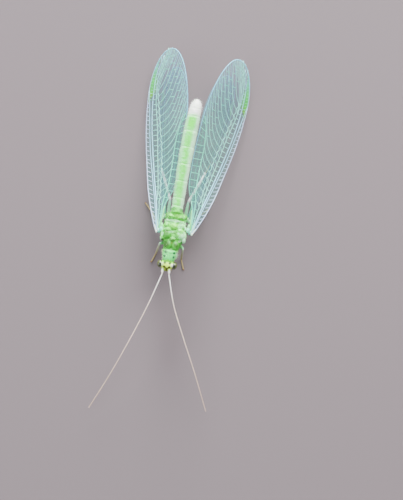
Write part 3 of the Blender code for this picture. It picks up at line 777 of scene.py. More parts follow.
# Marks on the back in plan: x, y, the two radii, the colour and its strength
BACK_MARKS = [
    (-0.05, -1.62, 0.5, 0.5, MINT, 1.0),
    (-0.1, -2.08, 0.36, 0.1, (104, 230, 26), 0.95),
    (0.0, -0.88, 0.6, 0.34, LEAF, 0.85),
    (-0.38, -0.82, 0.2, 0.2, OLIVE, 0.95),
    (0.32, -0.79, 0.17, 0.16, OLIVE, 0.95),
    (0.0, -1.0, 0.07, 0.12, OLIVE, 0.6),
    (0.01, -0.66, 0.045, 0.12, (168, 122, 34), 0.6),
    (0.01, -0.46, 0.13, 0.09, OLIVE, 0.85),
    (-0.77, -0.58, 0.13, 0.14, OLIVE, 0.9),
    (-0.71, -0.76, 0.09, 0.1, DARK_GREEN, 0.7),
    (0.76, -0.53, 0.1, 0.12, OLIVE, 0.7),
    # A near-white dab on the left prescutum: a painted highlight
    (0.53, -0.47, 0.1, 0.08, (206, 255, 206), 0.7),
    # The right scutum's green and olive marks: its own pattern, laid stronger than on the left as painted
    # shade
    (-0.48, -0.02, 0.34, 0.34, LEAF, 0.85),
    (-0.54, -0.02, 0.14, 0.16, OLIVE, 0.45),
    (0.42, 0.04, 0.3, 0.3, LEAF, 0.55),
    (0.4, 0.09, 0.08, 0.09, PALE_MINT, 0.45),
    (0.62, -0.16, 0.2, 0.2, PALE_MINT, 0.3),
    (-0.84, -0.1, 0.09, 0.14, PALE_MINT, 0.6),
    (-0.2, 0.14, 0.14, 0.05, (150, 214, 180), 0.4),
    (-0.53, 0.15, 0.1, 0.07, OLIVE, 0.6),
    (0.0, 0.05, 0.15, 0.045, OLIVE, 0.8),
    (-0.62, 0.42, 0.09, 0.09, OLIVE, 0.5),
    (0.62, 0.42, 0.08, 0.07, OLIVE, 0.3),
    (0.0, 0.56, 0.34, 0.22, YELLOW_GREEN, 0.5),
    (0.4, 0.55, 0.16, 0.2, PALE_MINT, 0.5),
    (0.0, 1.2, 0.3, 0.1, LEAF, 0.4),
    (0.24, 1.17, 0.1, 0.05, OLIVE, 0.4),
    (-0.12, 1.17, 0.12, 0.05, OLIVE, 0.4),
    (0.02, 1.42, 0.3, 0.2, (112, 238, 54), 0.7),
    (-0.28, 1.87, 0.14, 0.11, LEAF, 0.8),
    (0.28, 1.87, 0.14, 0.11, LEAF, 0.7),
    # Pale patches on both shoulders and along the left flank: pale cuticle, whitened as painted highlight
    (-0.92, -0.48, 0.08, 0.12, (190, 250, 204), 0.6),
    (0.88, -0.44, 0.13, 0.2, (188, 252, 206), 0.7),
    (0.8, -0.08, 0.18, 0.3, (180, 252, 204), 0.5),
    (0.82, 0.7, 0.14, 0.3, (190, 252, 212), 0.5),
]

# Marks drawn along a line in plan: the chevron of the scutum and the pale band behind its shield
BACK_LINES = [
    ([(-0.36, -0.26), (-0.14, -0.36), (0.01, -0.5), (0.1, -0.42), (0.24, -0.33)], 0.045, (52, 120, 26), 0.75),
    ([(-0.68, 0.92), (-0.35, 0.97), (0.0, 0.99), (0.35, 0.94), (0.66, 0.82)], 0.13, (186, 254, 206), 0.6),
    ([(-0.6, 0.3), (-0.3, 0.32), (0.0, 0.3), (0.3, 0.32), (0.6, 0.3)], 0.03, OLIVE, 0.45),
]
SHIELD_SPOTS = [(-0.35, -1.39), (0.28, -1.41), (-0.4, -1.72), (0.28, -1.72)]
SHIELD_SPOT_RADII = (0.075, 0.08)
SHIELD_EDGE_SPOTS = [(-0.54, -1.37), (0.46, -1.37)]
SHIELD_EDGE_RADII = (0.05, 0.05)
CROWN_SPOT_RADII = (0.09, 0.082)

# How far the mottled back's marks stray, and how wide the grain is that leads them astray
RAGGED = 0.05
RAGGED_SIZE = 0.12


def dab(points, x, y, rx, ry, edge=0.35):
    """1 inside an ellipse in plan, falling to 0 past its edge."""
    reach = np.hypot((points[:, 0] - x) / rx, (points[:, 1] - y) / ry)
    return smooth((1 + edge - reach) / edge / 1.6)


class SkinPaint:
    """The colours of head, thorax and abdomen, laid over one another from every side."""

    def __init__(self, points, normals):
        self.points = points
        self.x, self.y, self.z = points.T
        self.up = smooth((normals[:, 2] + 0.1) / 0.5)
        self.thorax = (self.y > THORAX_FROM_Y) & (self.y < THORAX_TO_Y)
        self.colours = np.broadcast_to(linear(PALE_GREEN), points.shape).copy()
        self.flanks()
        self.abdomen()
        self.back()
        self.head()

    def tint(self, colour, weight):
        self.colours += (linear(colour) - self.colours) * np.clip(weight, 0, 1)[:, None]

    def blotches(self, size, shift=0.0):
        """Soft random patches of about this size in millimetres."""
        return grain(self.points + shift, size)

    def flanks(self):
        """Flanks and underside of the thorax."""
        self.tint(LEAF, 0.4 * self.thorax * smooth((2.5 - self.z) / 0.5))
        self.tint(YELLOW_GREEN, 0.35 * self.thorax * smooth((1.5 - self.z) / 0.3))
        self.tint(LEAF, 0.45 * self.thorax * smooth(self.blotches(0.16) * 1.6))

    def abdomen(self):
        """Green plates, pale joints, sides brightened with painted light, a brighter seventh plate and a
        white tip that is partly a painted highlight.
        """
        y = self.y
        where = smooth((y - 1.7) / 0.3)
        out = (self.x - curve_through(ABDOMEN, y)[:, 0]) / 0.48 + 0.08 * self.blotches(0.3)
        self.tint(ABDOMEN_GREEN, where)
        # The pale pleura on each side, brightened as painted light, the left one whitest as a painted
        # highlight
        self.tint(RIGHT_PLEURA_AND_PAINTED_LIGHT, where * smooth((-out - 0.4) / 0.5) * 0.6)
        self.tint(LEFT_PLEURA_AND_HIGHLIGHT, where * smooth((out - 0.1) / 0.8) * 0.75)
        self.tint(BELLY, where * smooth((ABDOMEN_Z - 0.1 - self.z) / 0.2) * 0.7)
        joint = np.exp(-((abs(y[:, None] - SEGMENT_JOINTS).min(axis=1) / 0.05) ** 2))
        self.tint(SOFT_JOINT, where * joint * (0.32 + 0.3 * self.blotches(0.12)))
        patch = smooth((0.4 - abs(self.x - 0.03)) / 0.26) * smooth((y - 7.9) / 0.3)
        self.tint(SEVENTH_PLATE, self.up * patch * smooth((8.94 - y) / 0.3) * 0.8)
        stripe = smooth((0.24 - abs(self.x)) / 0.2) * smooth((y - 2.0) / 0.3) * smooth((7.9 - y) / 0.3)
        self.tint(BACK_STRIPE, self.up * stripe * (0.4 + 0.2 * self.blotches(0.2)))
        self.tint(PALE_MINT, where * 0.3 * smooth(self.blotches(0.14, 9.0) * 1.5))
        # The tip whitened: partly pale cuticle, partly a painted highlight from the light behind the tail
        self.tint(WHITE, smooth((y - 8.78) / 0.5) * 0.95)

    def back(self):
        """The mottled back of the thorax, where every mark has a ragged edge; some pale marks are painted
        highlights, some dark ones painted shade.
        """
        y = self.y
        thorax = self.up * self.thorax
        self.tint(OLIVE, 0.5 * thorax * (y > -1.2) * smooth(self.blotches(0.13, 2.0) * 1.7))
        self.tint(PALE_MINT, 0.18 * thorax * smooth(self.blotches(0.1, 6.0) * 1.8 - 0.2))
        stray = [self.blotches(RAGGED_SIZE, 5.0), self.blotches(RAGGED_SIZE, 8.0), 0 * y]
        ragged = self.points + RAGGED * np.column_stack(stray)
        for mark_x, mark_y, rx, ry, colour, strength in BACK_MARKS:
            self.tint(colour, self.up * strength * dab(ragged, mark_x, mark_y, rx, ry) * (y > -2.2))
        for line, half_width, colour, strength in BACK_LINES:
            inside = smooth(1.4 - distance_to(line, ragged[:, :2]) / half_width)
            self.tint(colour, self.up * strength * inside * (0.75 + 0.5 * self.blotches(0.13)))
        for spot in SHIELD_SPOTS:
            self.tint(DARK_GREEN, self.up * 0.95 * dab(self.points, *spot, *SHIELD_SPOT_RADII))
        for spot in SHIELD_EDGE_SPOTS:
            self.tint(DARK_GREEN, 0.6 * dab(self.points, *spot, *SHIELD_EDGE_RADII) * (self.z > 2.3))
        shield = smooth((y + 2.0) / 0.2) * smooth((-1.25 - y) / 0.1)
        # A painted highlight along the left edge of the pronotum's shield
        self.tint(SHIELD_EDGE_HIGHLIGHT, smooth((self.x - 0.4) / 0.1) * shield * self.up * 0.5)

    def head(self):
        """A yellow crown, white towards the eyes (beside the left one partly as a painted highlight), and a
        pale face with dark cheeks and lip.
        """
        x, y, z = self.x, self.y, self.z
        head = smooth((-2.04 - y) / 0.06)
        self.tint(YELLOW, head)
        self.tint(COLLAR, head * self.up * smooth((y + 2.24) / 0.12) * 0.9)
        beside = smooth((y + 2.5) / 0.08) * smooth((-2.2 - y) / 0.06) * smooth((z - 2.1) / 0.2)
        beside = head * beside * smooth((abs(x - HEAD[0]) - 0.24) / 0.14)
        self.tint(BESIDE_EYE, beside * 0.8)
        # A painted highlight beside the left eye, over the pale band
        self.tint(LEFT_EYE_SIDE_HIGHLIGHT, beside * (x > HEAD[0]) * 0.9)
        self.tint(FACE, head * smooth((2.1 - z) / 0.3))
        self.tint(LIP, head * smooth((1.84 - z) / 0.06) * (y < -2.55) * 0.7)
        crown = head * smooth((z - 2.3) / 0.1)
        for out_x, forward_y, colour in CROWN_SPOTS:
            for side in SIDES.values():
                spot = (HEAD[0] + side * out_x, HEAD[1] + forward_y)
                self.tint(colour, crown * 0.97 * dab(self.points, *spot, *CROWN_SPOT_RADII))
        for line, half_width, colour, strength in CROWN_LINES:
            for side in SIDES.values():
                reach = distance_to(HEAD[:2] + np.array(line) * (side, 1), self.points[:, :2])
                self.tint(colour, crown * smooth((1.35 - reach / half_width) / 0.7) * strength)
        for line, half_width, colour, strength in HEAD_MARKS:
            reach = np.minimum(*(distance_to(on_head(line, side), self.points) for side in SIDES.values()))
            self.tint(colour, head * smooth((1.35 - reach / half_width) / 0.7) * strength)
        self.tint(BROWN, head * smooth((1.47 - z) / 0.06) * 0.8)


TRUNK_NODES = ("head", "prothorax", "mesothorax", "metathorax", "abdomen")

# Hairs of the trunk: from y to y, how many, how long and their colour
BODY_HAIRS = (
    (-2.6, -2.1, 90, 0.1, CREAM),
    (-2.05, -1.22, 240, 0.17, CREAM),
    (-1.15, 1.7, 420, 0.14, CREAM),
    (1.8, 9.3, 1200, 0.1, WHITE),
    (9.3, 10.2, 260, 0.16, WHITE),
)


def make_skin():
    """One skin over head, thorax and abdomen, and the short hairs that stand on it."""
    mesh = remeshed(make_skin_form(), SKIN_VOXEL, SKIN_SOFTENING)
    refine_head(mesh)
    points = cut_seams(positions(mesh), normals_of(mesh))
    mesh.vertices.foreach_set("co", points.astype(np.float32).ravel())
    mesh.update()
    normals = normals_of(mesh)
    paint(mesh, np.clip(SkinPaint(points, normals).colours, 0, 1))
    make_body_hairs(points, normals)
    place(mesh, "skin", SKIN, TRUNK_NODES)


def make_body_hairs(points, normals):
    """Short pale hairs that lean to the rear, longest on the shield and at the tip of the abdomen."""
    shape = Shape()
    for low, high, count, length, colour in BODY_HAIRS:
        near = np.flatnonzero((points[:, 1] > low) & (points[:, 1] < high))
        chosen = rng.choice(near, count, replace=False)
        lean = normals[chosen] + np.array([0.0, 0.8, 0.1]) + rng.normal(0, 0.18, (count, 3))
        lean[:, 2] = np.where(points[chosen, 2] > 2.5, abs(lean[:, 2]), lean[:, 2])
        lengths = length * rng.uniform(0.6, 1.15, count)
        add_hairs(shape, points[chosen], lean, lengths, colour, HAIR_RADIUS)
    shape.piece("body_hairs", HAIR, "pale_green_cuticle")


# Eyes


# Facets of the eye: how far apart they stand, in radians, and how high each dome is, as a share of the radius
FACET_SPACING = 0.036
FACET_HEIGHT = 0.0035


def make_eye(side):
    """A faceted half globe: each facet is a low dome on the eye's surface."""
    facets, _ = ball(0.0, 1.0, 5)
    fine, faces = ball(0.0, 1.0, 7)
    nearest = np.empty(len(fine))
    for start in range(0, len(fine), 2000):
        block = fine[start : start + 2000] @ facets.T
        nearest[start : start + 2000] = np.arccos(np.clip(block.max(axis=1), -1, 1))
    raised = 1 + FACET_HEIGHT * (1 - np.clip(nearest / FACET_SPACING, 0, 1) ** 2)
    middle = HEAD + (SIDES[side] * EYE_OUT, 0.0, 0.0)
    points = fine * raised[:, None] * EYE_RADII + middle
    dark = smooth((0.85 - np.linalg.norm(fine - (-0.1 * SIDES[side], -0.1, 0.95), axis=1)) / 0.5)
    rim = smooth((0.1 - fine[:, 0] * SIDES[side]) / 0.4) * (1 - dark)
    colours = blend(linear(EYE_GREEN), linear(EYE_DARK), 0.95 * dark[:, None])
    colours = blend(colours, linear(EYE_RIM), rim[:, None])
    mesh = bpy.data.meshes.new(f"eye_dome_{side}")
    mesh.from_pydata(points.tolist(), [], faces)
    paint(mesh, colours)
    place(mesh, f"eye_dome_{side}", EYE, [f"eye_{side}"])


# Antennae


# Where each antenna runs, from the end of its scape to its tip
ANTENNA_RUN = {
    "right": [
        (-0.37, -3.1, 2.55), (-0.93, -5.2, 2.3), (-1.95, -8.3, 1.7),
        (-3.15, -11.5, 1.05), (-4.2, -13.95, 0.6),
    ],
    "left": [
        (0.17, -3.1, 2.55), (0.82, -5.1, 2.3), (2.0, -7.6, 1.75),
        (3.2, -9.95, 1.2), (4.55, -12.8, 0.6),
    ],
}
SCAPE_RADIUS = 0.078
FEELER_RADIUS = 0.04
FEELER_TIP_RADIUS = 0.03
FEELER_JOINT = 0.125
SCAPE_PROFILE = [(0, 0.6), (0.15, 0.9), (0.5, 1.08), (0.85, 1.0), (1, 0.72)]
SCAPE_STEPS = 16
PEDICEL_RADII = [0.032, 0.044, 0.05, 0.05, 0.048, 0.044, 0.04, 0.036]
THREAD_STEPS = 800
JOINT_PROFILE = ((0.0, 0.8), (0.12, 1.0), (0.6, 1.02), (0.92, 1.08))


def make_antenna(side):
    """The swollen scape and its pedicel, then some ninety short joints with a whorl of hairs on each."""
    run = np.array(ANTENNA_RUN[side])
    root = HEAD + (SOCKET_OUT[side], *SOCKET_FORWARD_UP)
    forward = unit(run[0] - root)
    base = Shape()
    path = smooth_path([root, root + (run[0] - root) * 0.45, run[0] - forward * 0.14], SCAPE_STEPS)
    steps = np.linspace(0, 1, SCAPE_STEPS)
    tint = blend(SCAPE_ROOT, WHITE, smooth(along_rod(steps, 20) * 1.5))
    base.add(*tube(path, SCAPE_RADIUS * curve_through(SCAPE_PROFILE, steps), 20), tint)
    pedicel = smooth_path([path[-1], path[-1] + forward * 0.08, run[0]], len(PEDICEL_RADII))
    base.add(*tube(pedicel, PEDICEL_RADII, 16), CREAM)
    add_ring_hairs(base, path[3:-1], SCAPE_RADIUS, 8, 0.06, CREAM)
    base.piece(f"scape_{side}", FEELER, "antenna", [f"antenna_{side}_scape"])

    length = np.linalg.norm(np.diff(run, axis=0), axis=1).sum()
    joints = int(length / FEELER_JOINT)
    shares = np.array([joint + offset for joint in range(joints) for offset, _ in JOINT_PROFILE]) / joints
    waist = np.tile([radius for _, radius in JOINT_PROFILE], joints)
    path = read_path(smooth_path(run, THREAD_STEPS), np.linspace(0, 1, THREAD_STEPS), shares)
    radii = waist * blend(FEELER_RADIUS, FEELER_TIP_RADIUS, shares**0.8)
    along = along_rod(shares, 10)
    colours = blend(WHITE, ROSE_CREAM, smooth(along / 0.3))
    thread = Shape()
    thread.add(*tube(path, radii, 10), blend(colours, FEELER_TIP, smooth((along - 0.3) / 0.7)))
    each = slice(2, None, len(JOINT_PROFILE))
    add_ring_hairs(thread, path[each], radii[each], 6, 0.05, ROSE_CREAM)
    thread.piece(f"flagellum_{side}", FEELER, "antenna", [f"antenna_{side}_flagellum"])


def add_ring_hairs(shape, middles, radii, around, length, colour):
    """A whorl of hairs round a rod at each of its middles, leaning along it."""
    middles = np.asarray(middles, float)
    radii = np.broadcast_to(radii, len(middles))
    tangents = unit(np.gradient(middles, axis=0))
    helper = np.where(abs(tangents[:, 2:]) < 0.9, [[0.0, 0.0, 1.0]], [[1.0, 0.0, 0.0]])
    across = unit(np.cross(tangents, helper))
    up = np.cross(tangents, across)
    roots, directions = [], []
    for index in range(len(middles)):
        turn = rng.uniform(0, math.pi)
        for step in range(around):
            angle = turn + 2 * math.pi * step / around
            outward = math.cos(angle) * across[index] + math.sin(angle) * up[index]
            roots.append(middles[index] + outward * radii[index] * 0.95)
            directions.append(outward + tangents[index] * 1.3)
    lengths = length * rng.uniform(0.7, 1.1, len(roots))
    add_hairs(shape, roots, directions, lengths, colour, FINE_HAIR_RADIUS)


# The jaws' two pairs of feelers from the middle of the head: the run, the number of joints and the radius
PALPS = (
    ([(0.16, -0.06, -0.78), (0.32, -0.1, -0.98), (0.36, -0.2, -1.14), (0.34, -0.42, -1.28)], 5, 0.052),
    ([(0.07, -0.06, -0.86), (0.11, -0.1, -1.06), (0.12, -0.26, -1.16)], 3, 0.042),
)


def make_palps():
    """The jaws' feelers, narrow at each joint."""
    shape = Shape()
    for side in SIDES.values():
        for corners, joints, radius in PALPS:
            path = smooth_path(on_head(corners, side), joints * 4 + 1)
            waist = np.array([0.75 if step % 4 == 0 else 1.0 for step in range(len(path))])
            taper = np.linspace(1.0, 0.7, len(path))
            shape.add(*tube(path, radius * waist * taper, 10), TAN)
            add_ring_hairs(shape, path[1:-1:2], radius * 0.9, 5, 0.06, TAN)
    shape.piece("palps", LIMB, "head_cuticle")


# Legs


# Each leg's hip, the bend under the body and the knee, then the ankle and the toe in plan
LEG_RUN = {
    "front_right": [
        (-0.36, -1.3, 1.75), (-0.48, -0.72, 1.15), (-0.9, -0.84, 1.92),
        (-1.1, -1.66), (-1.33, -2.28),
    ],
    "front_left": [
        (0.31, -1.3, 1.75), (0.48, -0.66, 1.15), (0.88, -0.98, 1.92),
        (0.86, -1.8), (1.14, -2.48),
    ],
    "middle_right": [
        (-0.4, 0.1, 1.5), (-0.55, 0.3, 0.95), (-1.42, 0.7, 1.75),
        (-1.96, 1.45), (-2.46, 1.95),
    ],
    "middle_left": [
        (0.4, 0.1, 1.5), (0.55, 0.3, 0.95), (1.36, 0.85, 1.75),
        (1.76, 1.72), (2.25, 2.23),
    ],
    "hind_right": [
        (-0.4, 1.3, 1.6), (-0.66, 1.05, 0.95), (-0.68, 2.5, 1.2),
        (-1.72, 4.75), (-2.15, 5.48),
    ],
    "hind_left": [
        (0.4, 1.3, 1.6), (0.66, 1.05, 0.95), (0.7, 2.55, 1.2),
        (1.62, 4.95), (1.9, 5.68),
    ],
}
ANKLE_HEIGHT = 0.11
FOOT_HEIGHT = 0.062
COXA = [(0, 0.2), (0.3, 0.2), (0.75, 0.15), (1, 0.1)]
THIGH = [(0, 0.085), (0.07, 0.1), (0.11, 0.08), (0.3, 0.11), (0.6, 0.105), (0.93, 0.08), (1, 0.066)]
SHIN = [(0, 0.056), (0.05, 0.07), (0.15, 0.06), (0.5, 0.066), (0.9, 0.058), (1, 0.05)]
FOOT_JOINT = [(0, 0.032), (0.2, 0.042), (0.8, 0.048), (1, 0.04)]
HIND_SHIN = 1.45
LIMB_SIDES = 14
SHIN_BOW = 0.04
CLAW_RADII = [0.024, 0.024, 0.02, 0.015, 0.01, 0.004]
SPUR_RADII = [0.014, 0.01, 0.003]
PAD_RADII = (0.04, 0.04, 0.028)

# Nothing reaches lower than this over the floor
LOWEST = 0.003
FOOT_SHARES = (0.0, 0.38, 0.56, 0.7, 0.82, 1.0)


def limb(shape, start, end, profile, colours, bow=(0, 0, 0), rings=18, hairs=0, hair_length=0.09):
    """One joint of a leg from start to end, round, with its own outline and a fur of short hairs."""
    shares = np.linspace(0, 1, rings)
    path = start + (end - start) * shares[:, None] + np.sin(math.pi * shares)[:, None] * np.array(bow)
    radii = curve_through(profile, shares)
    shape.add(*tube(path, radii, LIMB_SIDES), blend(*colours, along_rod(shares, LIMB_SIDES)))
    if hairs:
        steps = np.linspace(0.06, 0.97, hairs)
        middles = read_path(path, shares, steps)
        add_ring_hairs(shape, middles, np.interp(steps, shares, radii), 6, hair_length, colours[1])


def make_leg(name, run):
    """Coxa, thigh, shin, the foot of five joints and its two claws."""
    hip, bend, knee = (np.array(point) for point in run[:3])
    ankle = np.array([*run[3], ANKLE_HEIGHT])
    toe = np.array([*run[4], FOOT_HEIGHT])
    shape = Shape()
    foot = Shape()
    limb(shape, hip, bend, COXA, (PALE_GREEN, PALE_GREEN), rings=14)
    hind = "hind" in name
    thigh_tints = HIND_THIGH if hind else (PALE_GREEN, PALE_MINT)
    limb(shape, bend, knee, THIGH, thigh_tints, hairs=20, hair_length=0.08)
    shin_tints = HIND_SHIN_TINTS if hind else (SHIN_TOP, TAN)
    shin = [(share, radius * (HIND_SHIN if hind else 1.0)) for share, radius in SHIN]
    bow = (knee - ankle) * (0, 0, SHIN_BOW)
    limb(shape, knee, ankle, shin, shin_tints, bow, 26, 34)
    for start, end in zip(FOOT_SHARES, FOOT_SHARES[1:]):
        joint = [ankle + (toe - ankle) * share for share in (start, end)]
        joint[0][2] = max(FOOT_HEIGHT, joint[0][2])
        limb(foot, *joint, FOOT_JOINT, (TAN, TAN), rings=8, hairs=4, hair_length=0.06)
    along = unit(toe - ankle) * (1, 1, 0)
    across = np.array([-along[1], along[0], 0.0])
    for turn in SIDES.values():
        claw = [
            toe,
            toe + along * 0.07 + across * turn * 0.05 + (0, 0, 0.01),
            toe + along * 0.12 + across * turn * 0.06 - (0, 0, 0.045),
        ]
        foot.add(*tube(smooth_path(claw, len(CLAW_RADII)), CLAW_RADII, 8), BROWN)
        spur = [ankle, ankle + unit(toe - ankle) * 0.1 + across * turn * 0.07]
        foot.add(*tube(smooth_path(spur, len(SPUR_RADII)), SPUR_RADII, 6), BROWN)
    foot.add(*ball(toe + along * 0.05 - (0, 0, 0.018), PAD_RADII, 3), TAN)
    for points in shape.points + foot.points:
        points[:, 2] = np.maximum(points[:, 2], LOWEST)
    shape.piece(f"leg_{name}", LIMB, "pale_green_cuticle", [f"leg_{name}_femur", f"leg_{name}_tibia"])
    foot.piece(f"foot_{name}", LIMB, "foot", [f"leg_{name}_tarsus"])


# Wings


class Wing(NamedTuple):
    """One pair of wings. Each table pairs a distance from the hinge, along the wing, with a value there."""

    length: float
    root: float
    root_shift: dict
    hinge_x: dict
    hinge_y: float
    yaw: dict
    drop: float
    lift: float
    costal_edge: list
    rear_edge: list
    subcosta: list
    radius: list
    sector: list
    middle: list
    cubitus: list
    costal_bars: tuple
    sector_bars: tuple
    forks: tuple
    rungs: tuple
    anal: list
    sclerites: list
    plates: list
    stigma: tuple
    stigma_tints: tuple
    thickness: float
    # How much the veins' colours are darkened, as painted shade for the hind wings under the forewings
    tone: float


# How thick the rim is, from the costal root round the tip to the rear root
MARGIN_RADII = [
    (0, 0.036), (0.08, 0.033), (0.35, 0.027), (0.48, 0.029),
    (0.6, 0.028), (0.75, 0.02), (1, 0.018),
]


FOREWING = Wing(
    length=13.74,
    root=-0.08,
    root_shift={"left": 0.17, "right": -0.03},
    hinge_x={"left": 1.28, "right": 1.25},
    hinge_y=0.0,
    yaw={"left": math.radians(6.1), "right": math.radians(4.3)},
    drop=0.0,
    lift=-0.1,
    costal_edge=[
        (-0.3, -0.06), (-0.08, 0.04), (0.2, 0.16), (1, 0.42), (2, 0.7), (3, 0.93),
        (5, 1.22), (7, 1.46), (8.6, 1.56), (9.8, 1.57),
    ],
    rear_edge=[
        (-0.3, -0.1), (-0.08, -0.16), (0.3, -0.24), (1, -0.26), (2, -0.42), (2.6, -0.68),
        (3.3, -1.0), (5, -1.28), (7, -1.42), (8.6, -1.46),
    ],
    subcosta=[(0, 0.03), (1, 0.18), (2, 0.33), (4, 0.7), (6, 1.05), (8, 1.28), (9.5, 1.42), (10.5, 1.52)],
    radius=[
        (0, -0.02), (1, 0.1), (2, 0.22), (4, 0.56), (6, 0.86),
        (8, 1.1), (10, 1.19), (12, 1.02), (13.2, 0.6),
    ],
    sector=[
        (2.2, 0.24), (2.8, 0.2), (4, 0.28), (6, 0.5), (8, 0.7),
        (9.5, 0.92), (11, 0.98), (12.3, 0.82), (13.4, 0.4),
    ],
    middle=[(0, -0.07), (1, -0.02), (2, 0.0), (4, 0.05), (6, 0.18), (8, 0.48), (10, 0.78), (11, 0.88)],
    cubitus=[
        (0, -0.12), (1, -0.15), (2.5, -0.3), (3.2, -0.48),
        (5, -0.68), (7, -0.82), (8, -1.0), (9, -1.36),
    ],
    costal_bars=(0.7, 10.2, 30),
    sector_bars=(2.9, 12.9, 27),
    forks=(2.5, 12.7, 21),
    rungs=(2.6, 8.4, 12),
    anal=[[(0, -0.14), (0.9, -0.22), (1.7, -0.3), (2.5, -0.6)], [(0.1, -0.2), (0.8, -0.24), (1.3, -0.27)]],
    sclerites=[
        ([(0.0, 0.05), (0.16, 0.11), (0.5, 0.22)], (0.06, 0.036), (216, 232, 214)),
        ([(0.1, -0.06), (0.3, -0.03), (0.9, 0.08)], (0.06, 0.04), PALE_MINT),
        ([(0.3, -0.16), (0.6, -0.2), (0.9, -0.24)], (0.07, 0.045), MINT),
        ([(0.45, -0.2), (1.1, -0.3), (1.9, -0.42)], (0.055, 0.03), (124, 232, 140)),
    ],
    plates=[
        (0.02, 0.04, (0.075, 0.11, 0.075), (214, 236, 208)),
        (0.14, -0.1, (0.09, 0.14, 0.08), (140, 236, 206)),
        (0.24, -0.3, (0.14, 0.2, 0.09), (112, 236, 190)),
        (0.52, -0.32, (0.08, 0.2, 0.07), (130, 240, 160)),
    ],
    stigma=(9.6, 13.2),
    stigma_tints=((110, 176, 24), (52, 214, 76), (96, 210, 200)),
    thickness=1.0,
    tone=1.0,
)

HINDWING = Wing(
    length=11.0,
    root=-0.35,
    root_shift={"left": 0.0, "right": 0.0},
    hinge_x={"left": 0.98, "right": 0.98},
    hinge_y=1.42,
    yaw={"left": math.radians(5.9), "right": math.radians(4.1)},
    drop=0.86,
    lift=0.2,
    costal_edge=[(-0.35, 0.14), (0, 0.16), (1, 0.28), (2.5, 0.52), (4.5, 0.8), (6.5, 0.98), (8, 1.02)],
    rear_edge=[
        (-0.35, -0.2), (1, -0.12), (1.6, -0.24), (2.4, -0.6),
        (3.2, -0.84), (4.5, -0.98), (6.5, -1.06), (7.8, -1.07),
    ],
    subcosta=[(-0.2, 0.06), (1, 0.2), (2.5, 0.42), (4.5, 0.68), (6.5, 0.87), (8.2, 0.95)],
    radius=[
        (-0.2, 0.02), (1, 0.13), (2.5, 0.28), (4.5, 0.5),
        (6.5, 0.68), (8, 0.72), (9.6, 0.56), (10.7, 0.24),
    ],
    sector=[(1.4, 0.17), (2, 0.14), (3.5, 0.26), (5.5, 0.46), (7.5, 0.56), (9.2, 0.44), (10.7, 0.1)],
    middle=[(-0.2, -0.02), (1, 0.02), (2.5, 0.02), (4.5, 0.05), (6.5, 0.2), (8, 0.4)],
    cubitus=[
        (-0.2, -0.08), (1, -0.06), (2, -0.22), (3, -0.42),
        (4.5, -0.56), (6, -0.66), (7.2, -0.84), (7.8, -1.02),
    ],
    costal_bars=(0.8, 8.0, 20),
    sector_bars=(2.0, 10.2, 12),
    forks=(1.8, 9.0, 13),
    rungs=(2.2, 7.0, 9),
    anal=[[(0, -0.12), (0.8, -0.1), (1.5, -0.18), (2.0, -0.4)]],
    sclerites=[
        ([(-0.3, 0.06), (-0.1, 0.1), (0.3, 0.15)], (0.07, 0.045), CREAM),
        ([(-0.3, -0.06), (0.0, -0.03), (0.6, 0.02)], (0.07, 0.045), PALE_MINT),
    ],
    plates=[
        (-0.3, 0.04, (0.12, 0.14, 0.08), PALE_MINT),
        (-0.2, -0.14, (0.13, 0.16, 0.08), (140, 236, 160)),
    ],
    stigma=(8.0, 9.8),
    stigma_tints=((150, 196, 150), (150, 208, 178), (150, 204, 200)),
    thickness=0.58,
    tone=0.74,
)

# The wings' roof: the height of a forewing's long axis, and how steeply it falls towards its costal edge
ROOF_HEIGHT = [
    (-0.3, 2.62), (0, 2.6), (1, 2.52), (2, 2.36), (3, 2.12), (4, 1.87),
    (5, 1.7), (7, 1.6), (9, 1.58), (11, 1.72), (13.8, 1.76),
]
ROOF_SLOPE = [(-0.3, 0.2), (1, 0.35), (3, 0.55), (5, 0.62), (9, 0.63), (11, 0.76), (13.8, 0.8)]
ROOF_ARCH = 0.16
ARCH_FROM = 1.5
ARCH_FULL = 4.5
ARCH_HALF_WIDTH = 1.6

# Beside the abdomen, nearer the middle than this, the hind wings stay below it
BESIDE_ABDOMEN_X = 1.2
BESIDE_ABDOMEN_FADE = 0.5
BESIDE_ABDOMEN_Y = 2.6
UNDER_ABDOMEN_Z = 1.56

# A wing's root slides along it by its root_shift, which fades out over this length
ROOT_SHIFT_LENGTH = 2.2

# Ripples of the wing: how high, and how fast they change across it and along it
RIPPLES = ((0.012, 9, 1.7), (-0.01, 4, -6.3))

# Long veins: half their width at the root and at the tip, colour, steps and sides
LONG_VEINS = (
    ("subcosta", (0.036, 0.023), BLUE_VEIN, 40, 6),
    ("radius", (0.046, 0.028), BLUE_VEIN, 60, 8),
    ("sector", (0.027, 0.02), PALE_VEIN, 44, 6),
    ("cubitus", (0.04, 0.025), TURQUOISE, 40, 6),
)
ANAL_VEIN = (0.04, 0.024)
MIDDLE_VEIN = (0.028, 0.022)
BRANCH_VEIN = (0.021, 0.015)
SPLIT_RADII = (0.017, 0.013)
TWIG_VEIN = (0.02, 0.014)
CROSS_VEIN = 0.018
STEP_VEIN = 0.0162
ZIGZAG = 0.05

# How far apart the hairs stand on each long vein
VEIN_HAIRS = (("subcosta", 0.16), ("radius", 0.16), ("sector", 0.2), ("cubitus", 0.22))

# Forks: how far they spread, how soon they bend, how they drift to the rear, and how they narrow near the tip
FORK_SPREAD = 0.72
FORK_BEND = 0.62
FORK_DRIFT = 0.2
FORK_STEPS = np.concatenate([np.linspace(0, 1.2, 9), np.linspace(1.4, 6.5, 26)])
FORK_NARROWING = 0.72
NARROW_FROM = 8
NARROW_FADE = 4
SPLIT_AT = 0.62

